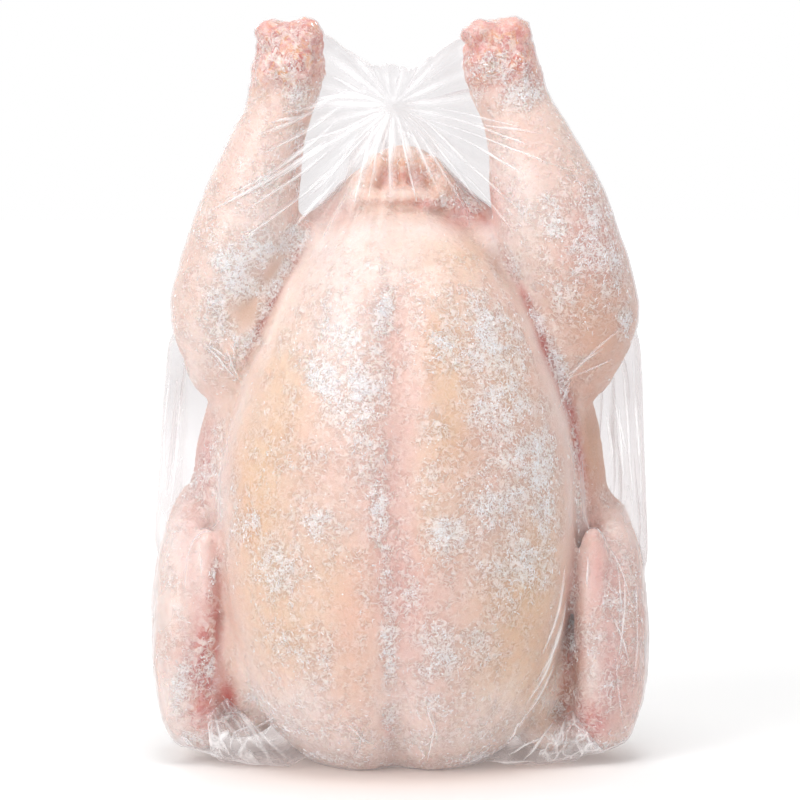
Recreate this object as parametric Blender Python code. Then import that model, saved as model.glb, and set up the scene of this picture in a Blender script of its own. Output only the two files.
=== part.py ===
# Whole frozen chicken in a clear film bag, standing on its neck end with the breast to the front.
# Metres, +Z up, breast towards -Y. The origin is on the flat underside, below the body's middle.
# The bag is one solid: every mass of the bird, with the film stretched across the gaps between them.

import math

import bmesh
import bpy
import numpy as np
from mathutils import Matrix, Vector

# Driving dimensions of the bird
BREAST_HALF_WIDTH = 0.0772
BREAST_WIDEST_Z = 0.100
BREAST_TOP_Z = 0.233
BREAST_FRONT = 0.067
BREAST_BACK = 0.038
BREAST_BOTTOM_Z = -0.005
PRESSED = 0.003  # how far the neck end is squashed flat where it stands
KEEL_WIDTH = 0.0085
KEEL_DEPTH = 0.0038
GIRTH_UNEVENNESS = 0.09  # the left leg is the slimmer one
KNEE_UNEVENNESS = 0.0008  # the right knee is farther out
HOCK_UNEVENNESS = -0.0030  # and the right leg's end is farther in
ELBOW_RISE = {-1: 0.004, 1: 0.0}

# Driving dimensions of the film bag
FILM_STANDOFF = 0.0012  # film, frost and slack outside the skin
GATHER = Vector((-0.0025, -0.012, 0.2755))  # where the bag's mouth is drawn together
GATHER_RADIUS = 0.0045
TUFT_TOP_Z = 0.2925
WEB_HALF_THICKNESS = 0.009
TUFT_HALF_WIDTH = 0.0125

# Meshing
RINGS = 28
SEGMENTS = 36
VOXEL = 0.0026
SMOOTHING_ROUNDS = 5
TRIANGLE_SHARE = 0.142
FLOOR_BLOCK = (0.5, 0.5, 0.05)


def between(rows, share):
    """The values at a share of the way through rows of numbers, on a smooth curve through each row."""
    place = min(max(share, 0.0), 1.0) * (len(rows) - 1)
    i = min(int(place), len(rows) - 2)
    u = place - i
    before, start, end, after = (
        np.array(rows[min(max(k, 0), len(rows) - 1)], float) for k in (i - 1, i, i + 1, i + 2)
    )
    return 0.5 * (
        2 * start
        + (end - before) * u
        + (2 * before - 5 * start + 4 * end - after) * u**2
        + (3 * start - before - 3 * end + after) * u**3
    )


def superellipse(share, power):
    return max(0.0, 1 - abs(share) ** power) ** (1 / power)


def unit_ball(fineness=1):
    ball = bmesh.new()
    bmesh.ops.create_uvsphere(ball, u_segments=SEGMENTS * fineness, v_segments=RINGS * fineness, radius=1.0)
    return ball


def limb(rows, roundness=3.2, boxiness=1.0):
    """A closed limb through rows of (x, y, z, half width, half depth), with rounded ends."""
    ball = unit_ball()
    for v in ball.verts:
        height = v.co.z
        turn = math.atan2(v.co.y, v.co.x)
        share = (height + 1) / 2
        here = between(rows, share)
        ahead = Vector(between(rows, share + 0.02)[:3]) - Vector(between(rows, share - 0.02)[:3])
        ahead.normalize()
        deep = Vector((0, 1, 0))
        deep = (deep - deep.dot(ahead) * ahead).normalized()
        wide = deep.cross(ahead)
        swell = superellipse(height, roundness)
        across, along = (math.copysign(abs(part) ** boxiness, part) for part in (math.cos(turn), math.sin(turn)))
        v.co = (
            Vector(here[:3])
            + wide * (here[3] * swell * across)
            + deep * (here[4] * swell * along)
        )
    return ball


def breast():
    """The egg-shaped breast in two lobes, with the keel's furrow down its middle."""
    ball = unit_ball(fineness=2)
    rise = BREAST_TOP_Z - BREAST_WIDEST_Z
    drop = BREAST_WIDEST_Z - BREAST_BOTTOM_Z
    for v in ball.verts:
        height = math.copysign(abs(v.co.z) ** 0.85, v.co.z)
        turn = math.atan2(v.co.y, v.co.x)
        swell = superellipse(height, 2.0 if height > 0 else 2.8)
        front = v.co.y < 0
        x = BREAST_HALF_WIDTH * swell * math.cos(turn)
        y = (BREAST_FRONT if front else BREAST_BACK) * superellipse(height, 2.1 if height > 0 else 2.5)
        y *= math.sin(turn)
        z = BREAST_WIDEST_Z + height * (rise if height > 0 else drop)
        if front:
            low = max(0.0, 1 - z / 0.05)
            furrow = KEEL_DEPTH * (1 + 1.2 * low) * math.exp(-((x / KEEL_WIDTH) ** 2))
            y += furrow * min(1.0, swell * 1.5)
            y += 0.006 * max(0.0, z / BREAST_TOP_Z) ** 2  # the belly falls back towards the vent
        v.co = (x, y, z)
    return ball


def back():
    """Shoulders, back and hips, running up into the tail."""
    return limb(
        [
            (0, 0.018, -0.004, 0.050, 0.030),
            (0, 0.019, 0.030, 0.061, 0.034),
            (0, 0.021, 0.075, 0.067, 0.035),
            (0, 0.023, 0.120, 0.067, 0.033),
            (0, 0.025, 0.160, 0.067, 0.031),
            (0, 0.026, 0.190, 0.058, 0.029),
            (0, 0.024, 0.220, 0.037, 0.025),
            (0, 0.020, 0.245, 0.022, 0.018),
        ],
        roundness=5.0,
        boxiness=0.82,
    )


def tail():
    """The parson's nose above the vent."""
    return limb(
        [
            (0.0005, 0.020, 0.228, 0.024, 0.015),
            (0.0005, 0.016, 0.244, 0.018, 0.013),
            (0.0005, 0.012, 0.2615, 0.010, 0.009),
        ]
    )


def drumstick(side):
    rows = [
        (0.0765, 0.006, 0.1485, 0.0090),
        (0.0790, 0.005, 0.1580, 0.0155),
        (0.0790, 0.003, 0.1720, 0.0184),
        (0.0765, 0.000, 0.1880, 0.0206),
        (0.0720, -0.002, 0.2030, 0.0220),
        (0.0648, -0.003, 0.2226, 0.0228),
        (0.0594, -0.004, 0.2414, 0.0206),
        (0.0540, -0.004, 0.2601, 0.0163),
        (0.0490, -0.003, 0.2740, 0.0140),
        (0.0452, -0.002, 0.2850, 0.0152),
        (0.0433, -0.002, 0.2960, 0.0161),
        (0.0427, -0.002, 0.3098, 0.0146),
    ]
    made = []
    for i, (x, y, z, radius) in enumerate(rows):
        share = i / (len(rows) - 1)
        x += side * (KNEE_UNEVENNESS + (HOCK_UNEVENNESS - KNEE_UNEVENNESS) * share**2)
        radius *= 1 + side * GIRTH_UNEVENNESS * math.sin(math.pi * min(1, share * 1.15))
        made.append((side * x, y, z, radius, radius))
    return limb(made, roundness=5.0)


def thigh(side):
    girth = 1 + side * GIRTH_UNEVENNESS / 2
    return limb(
        [
            (side * 0.034, 0.028, 0.216, 0.018 * girth, 0.016),
            (side * 0.048, 0.024, 0.204, 0.028 * girth, 0.024),
            (side * 0.060, 0.017, 0.186, 0.031 * girth, 0.028),
            (side * 0.070, 0.011, 0.167, 0.024 * girth, 0.025),
            (side * 0.074, 0.008, 0.152, 0.015 * girth, 0.017),
        ]
    )


def flank(side):
    """Skin and fat between the thigh and the wing."""
    return limb(
        [
            (side * 0.056, 0.020, 0.172, 0.020, 0.028),
            (side * 0.063, 0.018, 0.145, 0.019, 0.027),
            (side * 0.069, 0.016, 0.115, 0.018, 0.026),
            (side * 0.066, 0.018, 0.085, 0.016, 0.024),
        ]
    )


def upper_wing(side):
    rise = ELBOW_RISE[side]
    return limb(
        [
            (side * 0.058, 0.022, 0.004, 0.018, 0.024),
            (side * 0.070, 0.023, 0.040, 0.021, 0.023),
            (side * 0.081, 0.021, 0.078, 0.0180, 0.019),
            (side * 0.0880, 0.017, 0.107 + rise, 0.0120, 0.0135),
        ]
    )


def forearm(side):
    rise = ELBOW_RISE[side]
    return limb(
        [
            (side * 0.0885, 0.016, 0.112 + rise, 0.0105, 0.0130),
            (side * 0.0912, 0.010, 0.082, 0.0122, 0.0165),
            (side * 0.0912, 0.005, 0.045, 0.0130, 0.0175),
            (side * 0.0830, 0.001, 0.0045, 0.0150, 0.0165),
        ]
    )


def wing_tip(side):
    return limb(
        [
            (side * 0.0805, -0.008, 0.0055, 0.0135, 0.0125),
            (side * 0.0822, -0.015, 0.034, 0.0110, 0.0105),
            (side * 0.0820, -0.020, 0.068, 0.0088, 0.0085),
            (side * 0.0812, -0.020, 0.102, 0.0060, 0.0060),
        ]
    )


def gather():
    """The twist of film, and the tuft of loose film that stands up behind it."""
    x, y, z = GATHER
    return limb(
        [
            (x, y, z - 0.008, GATHER_RADIUS * 1.6, GATHER_RADIUS * 1.3),
            (x, y, z, GATHER_RADIUS, GATHER_RADIUS),
            (x - 0.002, y + 0.006, z + 0.008, TUFT_HALF_WIDTH * 0.6, 0.0042),
            (x - 0.004, y + 0.012, TUFT_TOP_Z, TUFT_HALF_WIDTH, 0.0032),
        ]
    )


def points_of(form, low=-1.0, high=1.0):
    return [v.co.copy() for v in form.verts if low <= v.co.z <= high]


def inner_face(points, side, thickness):
    """The points of a leg that the film leaves from: its inner half, and only so thick."""
    levels = {}
    for p in points:
        levels.setdefault(round(p.z / 0.008), []).append(p)
    kept = []
    for ring in levels.values():
        middle_x = sum(p.x for p in ring) / len(ring)
        middle_y = sum(p.y for p in ring) / len(ring)
        for p in ring:
            if (p.x - middle_x) * side < 0.002 and abs(p.y - middle_y) < thickness:
                kept.append(p)
    return kept


def stretched(points):
    """Film drawn tight over points, as a closed hull."""
    hull = bmesh.new()
    for point in points:
        hull.verts.new(point)
    made = bmesh.ops.convex_hull(hull, input=hull.verts)
    inside = [g for g in made["geom_interior"] if isinstance(g, bmesh.types.BMVert)]
    bmesh.ops.delete(hull, geom=inside, context="VERTS")
    bmesh.ops.recalc_face_normals(hull, faces=hull.faces)
    return hull


def film(masses):
    """Film that spans from one mass to the next: the mouth of the bag, its sides and its foot."""
    twist = [GATHER + Vector((dx, dy, dz)) for dx in (-0.004, 0.004) for dy in (-0.003, 0.003)
             for dz in (-0.005, 0.006)]
    tents = [stretched(twist + points_of(masses["breast"], 0.205))]
    tents.append(stretched(twist + points_of(masses["tail"]) + points_of(masses["back"], 0.225)))
    for side in (-1, 1):
        leg, wing, tip = masses[f"drumstick{side}"], masses[f"forearm{side}"], masses[f"wing_tip{side}"]
        inner = inner_face(points_of(leg, 0.190), side, WEB_HALF_THICKNESS)
        tents.append(stretched(twist + [p for p in inner if p.z > 0.262]))
        tents.append(stretched(twist + [p for p in inner if p.z < 0.275]))
        knee = [p for p in points_of(leg, high=0.185) if abs(p.y - 0.004) < 0.012]
        elbow = [p for p in points_of(wing, 0.040) if abs(p.y - 0.008) < 0.011]
        tents.append(stretched(knee + elbow))
        hip = points_of(masses[f"thigh{side}"], high=0.195)
        shoulder = points_of(masses[f"upper_wing{side}"], 0.055)
        tents.append(stretched(hip + shoulder))
        foot = points_of(wing, high=0.018) + points_of(tip, high=0.018)
        foot += [p for p in points_of(masses["breast"], high=0.018) if p.x * side > 0.03]
        tents.append(stretched(foot))
    return tents


def joined(name, forms):
    whole = bmesh.new()
    for form in forms:
        piece = bpy.data.meshes.new("piece")
        form.to_mesh(piece)
        whole.from_mesh(piece)
        bpy.data.meshes.remove(piece)
        form.free()
    mesh = bpy.data.meshes.new(name)
    whole.to_mesh(mesh)
    whole.free()
    body = bpy.data.objects.new(name, mesh)
    bpy.context.scene.collection.objects.link(body)
    return body


def floor_block():
    """What lies below the floor, to press the underside flat."""
    block = bmesh.new()
    bmesh.ops.create_cube(block, size=1.0)
    bmesh.ops.scale(block, vec=FLOOR_BLOCK, verts=block.verts)
    bmesh.ops.translate(block, vec=(0, 0, -FLOOR_BLOCK[2] / 2), verts=block.verts)
    cutter = joined("floor_block", [block])
    cutter.hide_render = True
    cutter.display_type = "WIRE"
    return cutter


def skin_over(body, cutter):
    """One closed surface over all the masses, a little outside them, cut flat at the floor."""
    remesh = body.modifiers.new("one_skin", "REMESH")
    remesh.mode = "VOXEL"
    remesh.voxel_size = VOXEL
    smooth = body.modifiers.new("slack", "SMOOTH")
    smooth.factor = 0.5
    smooth.iterations = SMOOTHING_ROUNDS
    standoff = body.modifiers.new("standoff", "DISPLACE")
    standoff.direction = "NORMAL"
    standoff.mid_level = 0.0
    standoff.strength = FILM_STANDOFF
    fewer = body.modifiers.new("fewer", "DECIMATE")
    fewer.ratio = TRIANGLE_SHARE
    flat = body.modifiers.new("flat_foot", "BOOLEAN")
    flat.operation = "DIFFERENCE"
    flat.object = cutter


def film_material():
    material = bpy.data.materials.new("clear_film_over_skin")
    material.use_nodes = True
    shader = material.node_tree.nodes["Principled BSDF"]
    shader.inputs["Base Color"].default_value = (0.88, 0.66, 0.56, 1)
    shader.inputs["Roughness"].default_value = 0.3
    shader.inputs["Metallic"].default_value = 0.0
    return material


def main():
    for thing in list(bpy.data.objects):
        bpy.data.objects.remove(thing)
    masses = {"breast": breast(), "back": back(), "tail": tail(), "gather": gather()}
    for side in (-1, 1):
        for maker in (drumstick, thigh, flank, upper_wing, forearm, wing_tip):
            masses[f"{maker.__name__}{side}"] = maker(side)
    bag = joined("clear_bag", film(masses) + list(masses.values()))
    bag.data.transform(Matrix.Translation((0, 0, -PRESSED)))
    skin_over(bag, floor_block())
    bag.data.materials.append(film_material())
    bag.data.shade_smooth()


main()
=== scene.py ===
import math
import random

import bmesh
import bpy
import numpy as np
from mathutils import Matrix, Vector, noise
from mathutils.bvhtree import BVHTree


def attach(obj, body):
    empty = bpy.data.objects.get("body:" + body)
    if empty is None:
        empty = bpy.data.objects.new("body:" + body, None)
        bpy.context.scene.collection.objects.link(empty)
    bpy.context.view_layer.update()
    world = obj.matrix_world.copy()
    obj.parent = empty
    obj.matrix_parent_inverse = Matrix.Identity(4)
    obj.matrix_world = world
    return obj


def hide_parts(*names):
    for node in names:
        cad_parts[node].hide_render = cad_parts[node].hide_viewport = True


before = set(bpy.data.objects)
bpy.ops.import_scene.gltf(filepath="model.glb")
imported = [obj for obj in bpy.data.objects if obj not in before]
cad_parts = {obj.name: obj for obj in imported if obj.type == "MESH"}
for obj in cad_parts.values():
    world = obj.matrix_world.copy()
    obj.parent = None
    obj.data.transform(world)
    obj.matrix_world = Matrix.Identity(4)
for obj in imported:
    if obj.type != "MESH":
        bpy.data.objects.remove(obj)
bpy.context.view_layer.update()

scene = bpy.context.scene
scene.view_settings.view_transform = "Standard"
scene.cycles.transparent_max_bounces = 18


def bringIn(name, data):
    thing = bpy.data.objects.new(name, data)
    scene.collection.objects.link(thing)
    return thing


def finishMesh(bm, name):
    mesh = bpy.data.meshes.new(name)
    bm.to_mesh(mesh)
    bm.free()
    return mesh


def nodeMaker(material):
    material.use_nodes = True
    tree = material.node_tree
    tree.nodes.clear()

    def make(kind, inputs=None, **settings):
        node = tree.nodes.new("ShaderNode" + kind)
        for key, value in settings.items():
            setattr(node, key, value)
        for key, value in (inputs or {}).items():
            if isinstance(value, bpy.types.NodeSocket):
                tree.links.new(value, node.inputs[key])
            else:
                node.inputs[key].default_value = value
        return node

    return make


def ramp(make, value, low, high, toLow=0.0, toHigh=1.0, smooth=True):
    kind = "SMOOTHSTEP" if smooth else "LINEAR"
    node = make("MapRange", {"Value": value, "From Min": low, "From Max": high,
                             "To Min": toLow, "To Max": toHigh}, interpolation_type=kind, clamp=True)
    return node.outputs["Result"]


def maths(make, operation, *values):
    node = make("Math", {i: v for i, v in enumerate(values)}, operation=operation)
    return node.outputs[0]


def times(make, first, *others):
    for other in others:
        first = maths(make, "MULTIPLY", first, other)
    return first


def clouds(make, place, scale, detail=2.0, rough=0.5, warp=0.0):
    node = make("TexNoise", {"Vector": place, "Scale": scale, "Detail": detail, "Roughness": rough,
                             "Distortion": warp})
    return node.outputs["Fac"]


def relief(make, height, strength, distance, below=None):
    values = {"Height": height, "Strength": strength, "Distance": distance}
    if below:
        values["Normal"] = below
    return make("Bump", values).outputs["Normal"]


def blendColor(make, share, first, second, mode="MIX"):
    node = make("Mix", data_type="RGBA", blend_type=mode)
    tree = node.id_data
    for socket, value in ((node.inputs[0], share), (node.inputs[6], first), (node.inputs[7], second)):
        if isinstance(value, bpy.types.NodeSocket):
            tree.links.new(value, socket)
        else:
            socket.default_value = value
    return node.outputs[2]


print("camera, light and floor")
white = (1, 1, 1, 1)
shot = {"elevation": 5.0, "distance": 1.5, "frameWidth": 0.333, "aim": (0, 0, 0.1505), "sensor": 36}


def addCamera():
    camera = bringIn("camera", bpy.data.cameras.new("camera"))
    tilt = math.radians(shot["elevation"])
    back = Vector((0, -math.cos(tilt), math.sin(tilt)))
    camera.location = Vector(shot["aim"]) + back * shot["distance"]
    camera.rotation_euler = (math.pi / 2 - tilt, 0, 0)
    camera.data.sensor_width = shot["sensor"]
    camera.data.lens = shot["sensor"] * shot["distance"] / shot["frameWidth"]
    camera.data.clip_end = 20
    scene.camera = camera


addCamera()

lamps = {
    "key": {"from": (-1.0, -1.05, 0.9), "size": (0.95, 1.35), "watts": 15.0},
    "front": {"from": (-0.1, -1.75, 0.22), "size": (1.2, 1.0), "watts": 4.2},
    "fill": {"from": (1.35, -0.8, 0.6), "size": (0.9, 0.9), "watts": 4.2},
    "overhead": {"from": (0.05, -0.35, 1.55), "size": (0.8, 0.8), "watts": 11.0},
    "behind": {"from": (-0.5, 1.3, 0.85), "size": (0.8, 0.8), "watts": 7.0},
}
lampAim = (0, 0, 0.15)
# how bright the room is behind the bird and on the camera's side, and how bright it is seen
studio = {"behind": 0.78, "front": 0.4, "seen": 1.0}
# each glow of the floor: from and to which distance it fades, and from and to which strength
floorLook = {"glow": (0.2, 2.4, 0.13, 0.62), "bounce": (0.12, 0.5, 0.12, 0.0),
             # the warm share and its tint are painted bounce light on the floor next to the bird
             "paintedWarmth": (0.055, 0.105, 1.0, 0.0),
             "plain": (0.7, 0.7, 0.7, 1), "paintedBounceTint": (0.67, 0.575, 0.535, 1), "rough": 0.7, "gloss": 0.1}


def addLamps():
    for name, lamp in lamps.items():
        light = bpy.data.lights.new(name, "AREA")
        light.shape = "ELLIPSE"
        light.size, light.size_y = lamp["size"]
        light.energy = lamp["watts"]
        holder = bringIn(name, light)
        holder.location = lamp["from"]
        aim = Vector(lampAim) - holder.location
        holder.rotation_euler = aim.to_track_quat("-Z", "Y").to_euler()
        holder.visible_camera = False


def paintWorld():
    # the room is darker on the camera's side, so that the film has something to reflect,
    # but it is always seen as white
    scene.world = bpy.data.worlds.new("studio")
    make = nodeMaker(scene.world)
    depth = make("SeparateXYZ", {0: make("TexCoord").outputs["Generated"]}).outputs["Y"]
    strength = ramp(make, depth, -0.7, 0.6, studio["front"], studio["behind"])
    room = make("Background", {"Color": white, "Strength": strength}).outputs[0]
    seen = make("Background", {"Color": white, "Strength": studio["seen"]}).outputs[0]
    direct = make("LightPath").outputs["Is Camera Ray"]
    make("OutputWorld", {"Surface": make("MixShader", {0: direct, 1: room, 2: seen}).outputs[0]})


def addFloor():
    bm = bmesh.new()
    bmesh.ops.create_grid(bm, x_segments=24, y_segments=24, size=6)
    floor = bringIn("floor", finishMesh(bm, "floor"))
    material = bpy.data.materials.new("floorWhite")
    make = nodeMaker(material)
    far = make("VectorMath", {0: make("TexCoord").outputs["Object"]}, operation="LENGTH").outputs["Value"]
    # a white sweep: the floor glows softly away from the bird, and takes its shadow beside it
    glow = ramp(make, far, *floorLook["glow"], False)
    # next to the bird more light comes back from the white floor than its shadow there shows
    bounce = ramp(make, far, *floorLook["bounce"], False)
    direct = make("LightPath").outputs["Is Camera Ray"]
    strength = make("Mix", {0: direct, 2: maths(make, "ADD", glow, bounce), 3: glow}).outputs[0]
    # painted bounce light: next to the bird the floor's colour is painted warmer, for the light that comes
    # through the bird and the film
    paintedWarmth = ramp(make, far, *floorLook["paintedWarmth"], False)
    shader = make("BsdfPrincipled", {
        "Base Color": blendColor(make, paintedWarmth, floorLook["plain"], floorLook["paintedBounceTint"]),
        "Roughness": floorLook["rough"], "Specular IOR Level": floorLook["gloss"],
        "Emission Color": white, "Emission Strength": strength,
    })
    make("OutputMaterial", {"Surface": shader.outputs[0]})
    floor.data.materials.append(material)


addLamps()
paintWorld()
addFloor()

print("masses of the bird")
bird = {
    "pressed": 0.003, "voxel": 0.00154, "evenRounds": 6,
    "breastHalfWidth": 0.0757, "breastMiddle": -0.0012, "breastFront": 0.067, "breastBack": 0.038,
    "breastTopZ": 0.2352, "breastWidestZ": 0.1, "breastBottomZ": -0.005,
    "keelWidth": 0.0085, "keelDepth": 0.0042, "cleft": 0.0038, "cleftX": -0.0035,
    "leanX": 0.0044, "leanZ": 0.182, "girth": 0.09, "knee": 0.0008, "hock": -0.003,
    "elbowRise": {-1: 0.004, 1: 0.0}, "blendFrom": 0.0815, "blendRounds": 50,
}


def along(rows, share):
    # smooth curve through the rows, for a whole array of shares
    rows = np.array(rows, float)
    place = np.clip(share, 0, 1) * (len(rows) - 1)
    i = np.minimum(place.astype(int), len(rows) - 2)
    u = (place - i)[:, None]
    p0, p1 = rows[np.maximum(i - 1, 0)], rows[i]
    p2, p3 = rows[i + 1], rows[np.minimum(i + 2, len(rows) - 1)]
    return 0.5 * (2 * p1 + (p2 - p0) * u + (2 * p0 - 5 * p1 + 4 * p2 - p3) * u**2
                  + (3 * p1 - p0 - 3 * p2 + p3) * u**3)


def ball(segments, rings):
    bm = bmesh.new()
    bmesh.ops.create_uvsphere(bm, u_segments=segments, v_segments=rings, radius=1)
    return bm


def reshape(bm, points):
    for v, p in zip(bm.verts, points):
        v.co = p
    return bm


def unitPoints(bm):
    return np.array([v.co for v in bm.verts])


def limb(rows, roundness=3.2, boxiness=1.0, segments=48, rings=56):
    bm = ball(segments, rings)
    unit = unitPoints(bm)
    height = unit[:, 2]
    turn = np.arctan2(unit[:, 1], unit[:, 0])
    here = along(rows, (height + 1) / 2)
    ahead = along(rows, (height + 1) / 2 + 0.02)[:, :3] - along(rows, (height + 1) / 2 - 0.02)[:, :3]
    ahead /= np.linalg.norm(ahead, axis=1)[:, None]
    deep = np.array([0, 1.0, 0]) - ahead * ahead[:, 1:2]
    deep /= np.linalg.norm(deep, axis=1)[:, None]
    wide = np.cross(deep, ahead)
    swell = np.maximum(0, 1 - np.abs(height) ** roundness) ** (1 / roundness)
    across = np.sign(np.cos(turn)) * np.abs(np.cos(turn)) ** boxiness
    depth = np.sign(np.sin(turn)) * np.abs(np.sin(turn)) ** boxiness
    points = here[:, :3] + wide * (here[:, 3] * swell * across)[:, None]
    return reshape(bm, points + deep * (here[:, 4] * swell * depth)[:, None])


def breast():
    bm = ball(96, 72)
    unit = unitPoints(bm)
    height = np.sign(unit[:, 2]) * np.abs(unit[:, 2]) ** 0.85
    turn = np.arctan2(unit[:, 1], unit[:, 0])
    up = height > 0
    power = np.where(up, 2.0, 2.35)
    swell = np.maximum(0, 1 - np.abs(height) ** power) ** (1 / power)
    power = np.where(up, 2.1, 2.5)
    swellDepth = np.maximum(0, 1 - np.abs(height) ** power) ** (1 / power)
    front = np.sin(turn) < 0
    x = bird["breastHalfWidth"] * swell * np.cos(turn) + bird["breastMiddle"]
    y = np.where(front, bird["breastFront"], bird["breastBack"]) * swellDepth * np.sin(turn)
    rise = bird["breastTopZ"] - bird["breastWidestZ"]
    drop = bird["breastWidestZ"] - bird["breastBottomZ"]
    z = bird["breastWidestZ"] + height * np.where(up, rise, drop)
    low = np.maximum(0, 1 - z / 0.05)
    # the shoulder of the breast leans a little to one side
    x += bird["leanX"] * np.exp(-((z - bird["leanZ"]) / 0.035) ** 2) * np.where(x < 0, 1.0, 0.5)
    furrow = bird["keelDepth"] * (1 + 1.7 * low) * np.exp(-(x / bird["keelWidth"]) ** 2)
    y += np.where(front, furrow * np.minimum(1, swell * 1.5) + 0.006 * np.maximum(0, z / 0.233) ** 2, 0)
    # the two halves of the breast stand apart at the foot
    z += bird["cleft"] * low**2 * np.exp(-((x - bird["cleftX"]) / bird["keelWidth"]) ** 2)
    return reshape(bm, np.stack([x, y, z], 1))


def lump(place, size, turn=0.0):
    bm = ball(24, 16)
    points = unitPoints(bm) * np.array(size)
    turned = Matrix.Rotation(turn, 3, "Y")
    return reshape(bm, [Vector(place) + turned @ Vector(p) for p in points])


def drumstick(side):
    rows = [
        (0.069, 0.008, 0.144, 0.007), (0.0705, 0.006, 0.157, 0.0122), (0.074, 0.004, 0.171, 0.0168),
        (0.0765, 0.0, 0.188, 0.0206), (0.072, -0.002, 0.203, 0.022),
        (0.0648, -0.003, 0.2226, 0.0228), (0.0594, -0.004, 0.2414, 0.0206),
        (0.054, -0.004, 0.2601, 0.0163), (0.049, -0.003, 0.274, 0.014),
        (0.0452, -0.002, 0.285, 0.0152), (0.0433, -0.002, 0.296, 0.0161), (0.0427, -0.002, 0.3098, 0.0146),
    ]
    made = []
    for i, (x, y, z, radius) in enumerate(rows):
        share = i / (len(rows) - 1)
        x += side * (bird["knee"] + (bird["hock"] - bird["knee"]) * share**2)
        radius *= 1 + side * bird["girth"] * math.sin(math.pi * min(1, share * 1.15))
        made.append((side * x, y, z, radius, radius))
    return limb(made, roundness=5.0, rings=72)


def sideForms(side):
    girth = 1 + side * bird["girth"] / 2
    rise = bird["elbowRise"][side]
    thigh = [(0.034, 0.028, 0.211, 0.018 * girth, 0.016), (0.048, 0.024, 0.201, 0.027 * girth, 0.024),
             (0.06, 0.017, 0.186, 0.031 * girth, 0.028), (0.07, 0.011, 0.167, 0.024 * girth, 0.025),
             (0.074, 0.008, 0.152, 0.015 * girth, 0.017)]
    flank = [(0.056, 0.02, 0.172, 0.02, 0.028), (0.063, 0.018, 0.145, 0.019, 0.027),
             (0.069, 0.016, 0.115, 0.018, 0.026), (0.066, 0.018, 0.085, 0.016, 0.024)]
    upperWing = [(0.064, 0.026, 0.009, 0.016, 0.02), (0.071, 0.024, 0.04, 0.02, 0.022),
                 (0.081, 0.021, 0.078, 0.018, 0.019), (0.088, 0.017, 0.107 + rise, 0.012, 0.0135)]
    forearm = [(0.087, 0.018, 0.112 + rise, 0.0085, 0.011), (0.0912, 0.01, 0.08, 0.0116, 0.0165),
               (0.0912, 0.005, 0.045, 0.013, 0.0175), (0.083, 0.001, 0.008, 0.015, 0.0165)]
    # the left wing lies flatter and further out than the right one
    out, flat, fill = (0.0008, 0.0035, 0.01) if side < 0 else (0.0, 0.0, 0.0)
    foot = [(0.056, 0.008, 0.022, 0.014, 0.018)] if side < 0 else [(0.06, 0.002, 0.006, 0.017, 0.02)]
    shoulder = [*foot, (0.066, 0.006 - fill * 0.6, 0.036, 0.015, 0.019),
                (0.072, 0.006 - fill, 0.05, 0.014, 0.018), (0.074, 0.01 - fill, 0.085, 0.01, 0.014)]
    web = [(0.086, -0.004, 0.01, 0.0135, 0.0135), (0.089, -0.009 - fill * 0.4, 0.034, 0.0125, 0.013),
           (0.0903, -0.01 - fill * 0.3, 0.06, 0.012, 0.013),
           (0.0893, -0.003, 0.09, 0.0105, 0.012), (0.088, 0.006, 0.108, 0.0085, 0.011)]
    tip = [(0.083, -0.008, 0.009, 0.0125, 0.0125),
           (0.0824 + out / 2, -0.015 + flat, 0.034, 0.0105, 0.0105),
           (0.0808 + out, -0.0192 + flat, 0.068, 0.0088, 0.0085),
           (0.08 + out, -0.0165 + flat, 0.102, 0.006, 0.0062)]
    # the skin that closes the groove between the leg and the breast
    groove = [(0.04, 0.0, 0.23, 0.007, 0.008), (0.048, -0.002, 0.211, 0.0095, 0.0098),
              (0.06, -0.007, 0.192, 0.0125, 0.0115), (0.0665, -0.008, 0.178, 0.0115, 0.011),
              (0.07, -0.003, 0.162, 0.008, 0.009)]
    parts = (thigh, flank, upperWing, forearm, shoulder, web, tip, groove)
    forms = [limb([(side * r[0], *r[1:]) for r in rows]) for rows in parts]
    forms.append(drumstick(side))
    return forms


def spine():
    rows = [(0, 0.018, -0.004, 0.05, 0.03), (0, 0.019, 0.03, 0.061, 0.034),
            (0, 0.021, 0.075, 0.067, 0.035), (0, 0.023, 0.12, 0.067, 0.033),
            (0, 0.025, 0.16, 0.067, 0.031), (0, 0.025, 0.188, 0.055, 0.029),
            (0, 0.022, 0.217, 0.034, 0.024), (0, 0.018, 0.243, 0.021, 0.017)]
    return limb(rows, roundness=5.0, boxiness=0.82)


def tailForms():
    # the tail with its two pits, and the lip of the body's opening above the breast
    nose = limb([(0.0005, 0.014, 0.176, 0.044, 0.017), (0.0005, 0.012, 0.19, 0.053, 0.0185),
                 (0.0005, 0.01, 0.203, 0.0555, 0.018), (0.0005, 0.011, 0.216, 0.05, 0.0175),
                 (0.001, 0.012, 0.229, 0.0405, 0.015), (0.001, 0.0125, 0.242, 0.029, 0.0115),
                 (0.001, 0.012, 0.259, 0.014, 0.008)])
    lips = [lump((-0.0085, -0.0015, 0.237), (0.009, 0.0075, 0.0034), 0.12),
            lump((0.002, -0.0025, 0.2385), (0.0095, 0.008, 0.0038)),
            lump((0.0125, -0.0015, 0.2368), (0.008, 0.007, 0.0034), -0.25)]
    crotch = [lump((-0.0325, 0.002, 0.2175), (0.0125, 0.0115, 0.0085), 0.6),
              lump((0.0335, 0.001, 0.215), (0.014, 0.012, 0.0095), -0.6)]
    rims = [lump((-0.0165, 0.004, 0.24), (0.0055, 0.008, 0.011), 0.5),
            lump((0.0185, 0.0035, 0.24), (0.0055, 0.008, 0.012), -0.5),
            lump((-0.01, 0.003, 0.25), (0.0045, 0.006, 0.0062), 0.3),
            lump((0.0012, 0.002, 0.249), (0.0026, 0.0065, 0.0062)),
            lump((0.013, 0.003, 0.2495), (0.0046, 0.006, 0.0062), -0.3)]
    return [nose, *lips, *crotch, *rims]


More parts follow.
